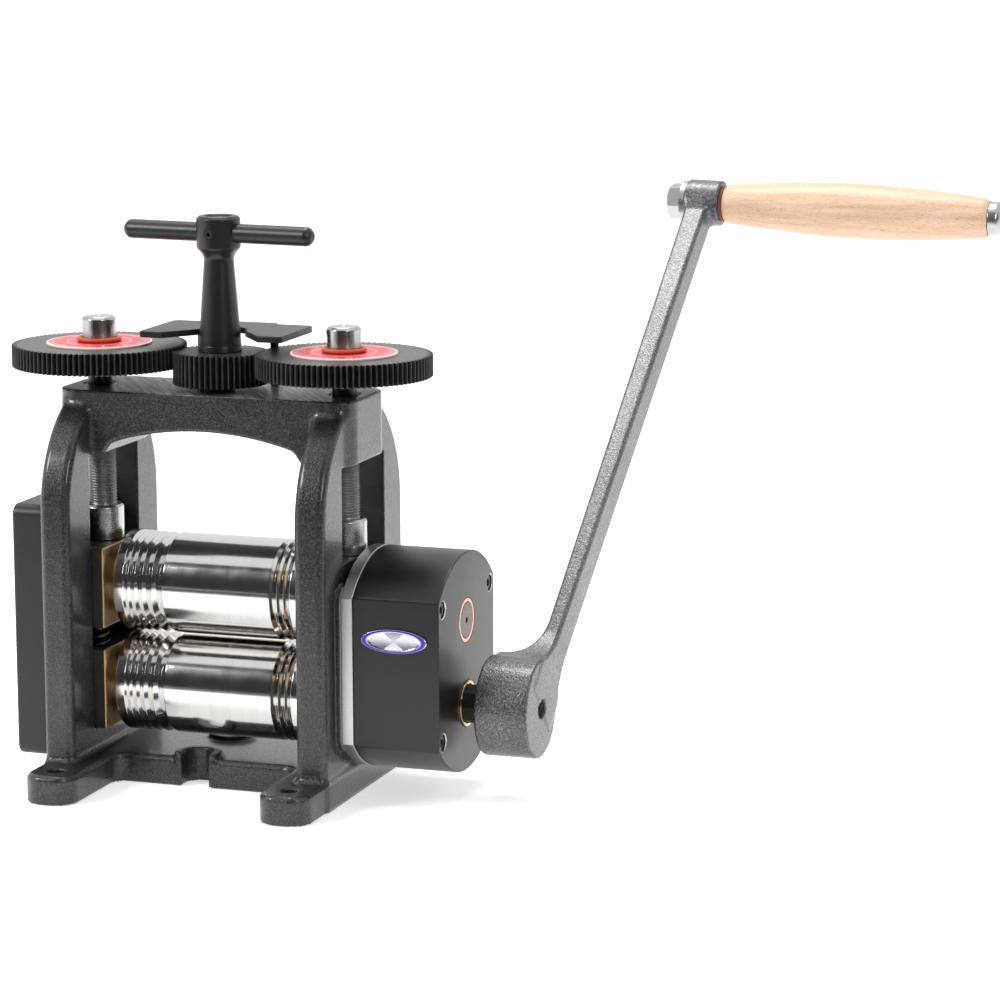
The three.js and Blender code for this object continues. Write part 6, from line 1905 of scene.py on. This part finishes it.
@dataclass(frozen=True)
class Crank:
    """The crank: a forged arm, and a beech grip that turns on its rod."""

    lean: float = -49.9
    splay: float = 2.05
    hub_x: Pair = (153.6, 183.5)
    hub_radius: float = 27.0
    hub_edge: float = 1.5
    reach: float = 380.0
    root_thickness: float = 9.2
    top_thickness: float = 13.7
    root_fillet: Pair = (19.5, 30.0)
    root_half: float = 10.4
    root_lean: float = math.radians(48)
    top_half: float = 8.6
    taper_share: float = 0.8
    arm_edge: float = 2.2
    boss: Triple = (13.5, -15.0, 5.8)
    rod_bore: float = 5.3
    stub_bore: Pair = (9.1, 172.4)
    bolt_bore: Triple = (3.3, 5.25, 176.4)
    cell: float = 1.15
    rod_radius: float = 5.0
    rod_room: float = 0.3
    nut: Triple = (-26.8, -18.2, 19.0)
    washer: Triple = (-18.1, -15.1, 12.5)
    fibre: Triple = (5.9, 7.5, 10.5)
    rod_tail: float = -28.0
    head: Quad = (168.4, 172.4, 177.38, 10.1)
    grip_x: Pair = (7.6, 168.1)
    grip_radii: tuple[float, ...] = (11.4, 13.5, 15.2, 16.1, 16.2, 15.5, 13.8, 11.4)
    grip_steps: int = 12

    def top(self) -> Pair:
        """The middle of the arm's top, on the outer face: its X and its reach."""
        angle = math.radians(self.splay)
        return self.hub_x[1] + self.reach * math.sin(angle), self.reach * math.cos(angle)

    def turned(self) -> Matrix:
        """What turns the upright crank into its place."""
        return (Matrix.Translation((0.0, 0.0, CRANK_Z))
                @ Matrix.Rotation(math.radians(self.lean), 4, "X"))

    def splayed(self) -> Matrix:
        """What carries the handle's parts to the top of the upright arm."""
        top_x, top_u = self.top()
        return (Matrix.Translation((top_x, 0.0, top_u))
                @ Matrix.Rotation(math.radians(self.splay), 4, "Y"))

    def half_widths(self) -> tuple[np.ndarray, np.ndarray]:
        """The arm's half width at places up the arm: the places and the widths."""
        lean = self.root_lean
        side, rise = self.hub_radius * math.sin(lean), self.hub_radius * math.cos(lean)
        bend = rise + (side - self.root_half) * math.tan(lean)
        neck = bent(*np.array([(rise, side), (bend, self.root_half),
                               (rise + self.root_fillet[1], self.root_half)]), 80)
        return tuple(np.concatenate([[(0.0, side)], neck, [(self.top()[1], self.top_half)]]).T)

    def arm(self) -> Solid:
        """The upright arm alone; X out, Y across and Z up the arm."""
        slope = math.tan(math.radians(self.splay))
        top_x, top_u = self.top()
        fillet_x, fillet_u = self.root_fillet
        end_u = self.hub_radius - 2 + fillet_u
        inner_end = self.hub_x[1] + end_u * slope - self.root_thickness
        places, widths = self.half_widths()

        def inner_face(u: np.ndarray) -> np.ndarray:
            """The X of the arm's inner face."""
            bow = np.sqrt(np.clip(1 - ((u - end_u) / fillet_u) ** 2, 0, 1))
            root = inner_end - fillet_x + fillet_x * bow
            straight = inner_end + (u - end_u) * (top_x - self.top_thickness - inner_end) / (
                top_u - end_u)
            return np.where(u > end_u, straight, np.where(u > end_u - fillet_u, root,
                                                          self.hub_x[0] + self.hub_edge))

        outer = Solid(lambda p: p[:, 0] - self.hub_x[1] - p[:, 2] * slope)
        inner = Solid(lambda p: inner_face(p[:, 2]) - p[:, 0])
        width = Solid(lambda p: (np.abs(p[:, 1]) - np.interp(p[:, 2], places, widths))
                      * self.taper_share)
        return width.common(outer, self.arm_edge).common(inner, self.arm_edge).common(
            slab(Axis.Z, 0.0, top_u))

    def solid(self) -> Solid:
        """The upright arm with its hub, its boss and its bores."""
        low, high = self.hub_x
        rod = pillar(Axis.X, self.rod_bore).moved(self.splayed())
        rod = rod.common(over(Axis.Z, self.top()[1] - 30))
        web, bolt, bolt_x = self.bolt_bore
        body = rod_along_x(self.hub_radius, low, high, self.hub_edge).joined(self.arm(), 2.0)
        body = body.joined(rod_along_x(*self.boss, 1.2).moved(self.splayed()), 3.0)
        body = body.without(rod, 0.5)
        body = body.without(rod_along_x(self.stub_bore[0], low - 9, self.stub_bore[1]), 0.5)
        body = body.without(rod_along_x(web, low, high + 9))
        body = body.without(rod_along_x(bolt, bolt_x, high + 9), 0.6)
        return body.common(over(Axis.X, low))

    def nut_mesh(self) -> Mesh:
        """The hexagon nut, its outer corners turned off in a cone."""
        low, high, flats = self.nut
        corner = flats / 2 / math.cos(math.pi / 6)
        bore = self.rod_radius + 0.02
        hexagon = lathe([(low, self.rod_radius), (low, corner), (high, corner),
                         (high, self.rod_radius)], Axis.X, segments=6, ring=True)
        shell = lathe([(low - 1, flats / 2 - 2.2), (low + 1.75, corner + 0.05),
                       (high - 0.3, corner), (high + 1, corner - 1.0), (high + 1, corner + 6),
                       (low - 1, corner + 6)], Axis.X, segments=72, ring=True)
        drill = lathe([(low - 1, bore), (high + 1, bore)], Axis.X, segments=40)
        for mesh in (hexagon, shell, drill):
            mesh.transform(scaled_place(self.turned() @ self.splayed()))
        return carved(carved(hexagon, shell), drill)

    def grip_profile(self) -> list[Pair]:
        """The grip's profile from its inner end to its outer end, drawn through its radii."""
        low, high = self.grip_x
        radii = np.array(self.grip_radii)
        step = (high - low) / (len(radii) - 1)
        padded = np.concatenate([[2 * radii[0] - radii[1]], radii, [2 * radii[-1] - radii[-2]]])
        points = []
        for i, (a, b, c, d) in enumerate(zip(padded, padded[1:], padded[2:], padded[3:])):
            for t in np.linspace(0, 1, self.grip_steps, endpoint=False):
                height = 0.5 * (2 * b + (c - a) * t + (2 * a - 5 * b + 4 * c - d) * t ** 2
                                + (3 * b - a - 3 * c + d) * t ** 3)
                points.append((low + (i + t) * step, height))
        return points[1:]

    def handle(self) -> None:
        """Turns the rod, the washers and the grip."""
        place = self.turned() @ self.splayed()
        head_x, rim_x, top_x, head = self.head
        radius, bore = self.rod_radius, self.rod_radius + self.rod_room
        dome = [(rim_x + (top_x - rim_x) * math.sin(t), head * math.cos(t))
                for t in np.linspace(0, math.pi / 2, 14)[:-1]]
        mesh = lathe([(self.rod_tail, 0.0), (self.rod_tail, radius - 1),
                      (self.rod_tail + 1, radius), (head_x, radius), (head_x, head, 0.4),
                      *dome, (top_x, 0.0)], Axis.X, segments=72, turn=place)
        add_piece(mesh, "handle_rod_turned", "crank", ZINC, "handle_rod")
        add_piece(self.nut_mesh(), "handle_nut_hexagon", "crank", ZINC, "handle_nut")
        for name, finish, (low, high, outer) in (
                ("handle_washer", ZINC, self.washer), ("fibre_washer", WASHER_FIBRE, self.fibre)):
            mesh = lathe([(low, bore), (high, bore), (high, outer, 0.3), (low, outer, 0.3)],
                         Axis.X, segments=72, ring=True, turn=place)
            add_piece(mesh, f"{name}_ring", "crank", finish, name)
        low, high = self.grip_x
        mesh = lathe([(high, bore), (low, bore), (low, self.grip_radii[0] - 1.2, 0.8),
                      *self.grip_profile(), (high, self.grip_radii[-1] - 1.2, 0.8)],
                     Axis.X, ring=True, sharp=50, turn=place)
        add_piece(mesh, "handle_grip_turned", "grip", BEECH, "handle_grip")

    def build(self) -> None:
        """Casts and paints the arm, and sets the handle on it."""
        top_x, top_u = self.top()
        mesh = casting(self.solid(), (self.hub_x[0], -self.hub_radius, -self.hub_radius),
                       (top_x + 8, self.hub_radius, top_u + 14), self.cell, self.turned())
        add_piece(mesh, "crank_arm_body", "crank", CRANK_PAINT, "crank_arm")
        self.handle()


DRESSED = (
    (PLAIN_OXIDE, ("upper_roll_gear", "lower_roll_gear", "crank_shaft", "index_post_left",
                   "index_post_right")),
    (SCREW_OXIDE, ("upper_gear_screw", "lower_gear_screw", "crank_bolt", "tee_grub_screw")),
    (HIDDEN_STEEL, ("output_gear", "counter_gear")),
    (SHAFT_END, ("counter_shaft",)),
    (BRONZE, ("counter_bush_inner",)))


def dress(node: str, finish: Finish) -> None:
    """Gives a part that keeps its CAD shape a finish of its own."""
    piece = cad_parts[node]
    for slot in piece.material_slots:
        slot.material = finish.material()
    if not piece.material_slots:
        piece.data.materials.append(finish.material())


@dataclass(frozen=True)
class Studio:
    """A white surround, dark cards behind the camera and soft boxes, as in the photograph."""

    eye: Triple = (775.7, -1816.5, 514.6)
    aim: Triple = (160.2, 0.0, 164.0)
    lamp_aim: Triple = (0.0, 0.0, 150.0)
    roll: float = -0.18
    lens: float = 131.6
    sky: float = 1.0
    floor_glow: float = 0.55
    floor_reach: float = 30000.0

    def world(self) -> None:
        """Lights the scene from a white surround."""
        world = bpy.data.worlds.new("Studio")
        bpy.context.scene.world = world
        world.use_nodes = True
        tree = Nodes(world.node_tree)
        sky = tree.node("ShaderNodeBackground", {}, {"Color": (1, 1, 1), "Strength": self.sky})
        tree.node("ShaderNodeOutputWorld", {}, {"Surface": sky.outputs[0]})

    def floor(self) -> None:
        """Lays a pale sweep under the mill."""
        reach = self.floor_reach
        mesh = mesh_of([(x * reach, y * reach, -0.2)
                        for x, y in ((-1, -1), (1, -1), (1, 1), (-1, 1))], [(0, 1, 2, 3)])
        shader = Shader("Floor_paper")
        tone = shader.noise(900.0, 1.0)
        mesh.materials.append(shader.finish(
            Base_Color=shader.blend(tone, (0.80, 0.80, 0.80), (0.82, 0.82, 0.82)),
            Roughness=0.8 + tone * 0.05, Emission_Color=(1.0, 1.0, 1.0),
            Emission_Strength=self.floor_glow, Specular_IOR_Level=0.1))
        link("floor", mesh)

    def card(self, name: str, corners: Sequence[Triple], shades: bool = True) -> None:
        """Sets a dark card, seen in reflections only, on the photographer's side.

        Args:
            name: Its name.
            corners: Its four corners, mm.
            shades: Whether it keeps light off what is behind it, as one that lies down must not.
        """
        mesh = mesh_of(corners, [(0, 1, 2, 3)])
        shader = Shader(f"{name}_cloth")
        mesh.materials.append(shader.finish(
            Base_Color=(0.02, 0.02, 0.02), Roughness=0.9 + shader.noise(300.0) * 0.05,
            Specular_IOR_Level=0.1))
        card = link(name, mesh)
        card.visible_camera = False
        card.visible_shadow = card.visible_diffuse = shades

    def panel(self, name: str, at: Triple, size: Pair, power: float) -> None:
        """Hangs one soft box that looks at the mill.

        Args:
            name: Its name.
            at: Its place, mm.
            size: Its width and height, mm.
            power: Its power, W.
        """
        lamp = bpy.data.lights.new(name, "AREA")
        lamp.shape = "RECTANGLE"
        lamp.size, lamp.size_y = (side * MM for side in size)
        lamp.energy = power
        holder = link(name, lamp)
        holder.location = Vector(at) * MM
        aim = Vector(self.lamp_aim) * MM - holder.location
        holder.rotation_euler = aim.to_track_quat("-Z", "Y").to_euler()

    def camera(self) -> None:
        """Sets the camera where the photograph was taken from."""
        lens = bpy.data.cameras.new("Camera")
        lens.lens = self.lens
        lens.sensor_width = 36.0
        lens.clip_end = 100.0
        camera = link("Camera", lens)
        eye = Vector(self.eye) * MM
        look = (Vector(self.aim) * MM - eye).to_track_quat("-Z", "Y").to_matrix().to_4x4()
        turn = Matrix.Rotation(math.radians(self.roll), 4, "Z")
        camera.matrix_world = Matrix.Translation(eye) @ look @ turn
        bpy.context.scene.camera = camera

    def build(self) -> None:
        """Sets up the whole studio."""
        self.world()
        self.floor()
        for name, (x1, y1), (x2, y2), top in (
                ("Card_front", (-3200, -2400), (3600, -2400), 3800),
                ("Card_right", (2600, -2400), (2600, 300), 1500)):
            self.card(name, ((x1, y1, 5), (x2, y2, 5), (x2, y2, top), (x1, y1, top)))
        self.card("Card_floor", ((-1133, -855, 1), (1707, 107, 1), (2317, -1692, 1),
                                 (-523, -2654, 1)), shades=False)
        self.panel("Key", (-1500, -1500, 1500), (600, 600), 34)
        self.panel("Fill", (1700, -1500, 1200), (400, 800), 14)
        self.panel("Top", (-200, 500, 1900), (1000, 600), 26)
        self.camera()


def main() -> None:
    """Builds the mill piece by piece, then its studio, and closes the frame."""
    logging.basicConfig(level=logging.INFO, format="%(name)s: %(message)s")
    for part in (FrameCasting(), Rolls(), Cover(), Gearbox(), Screwdown(), TeeHandle(),
                 IndexPlate(), Crank()):
        part.build()
        log.info("%s built", type(part).__name__)
    for finish, nodes in DRESSED:
        for node in nodes:
            dress(node, finish)
    Studio().build()
    bpy.context.scene.view_settings.view_transform = "Standard"


if __name__ == "__main__":
    main()
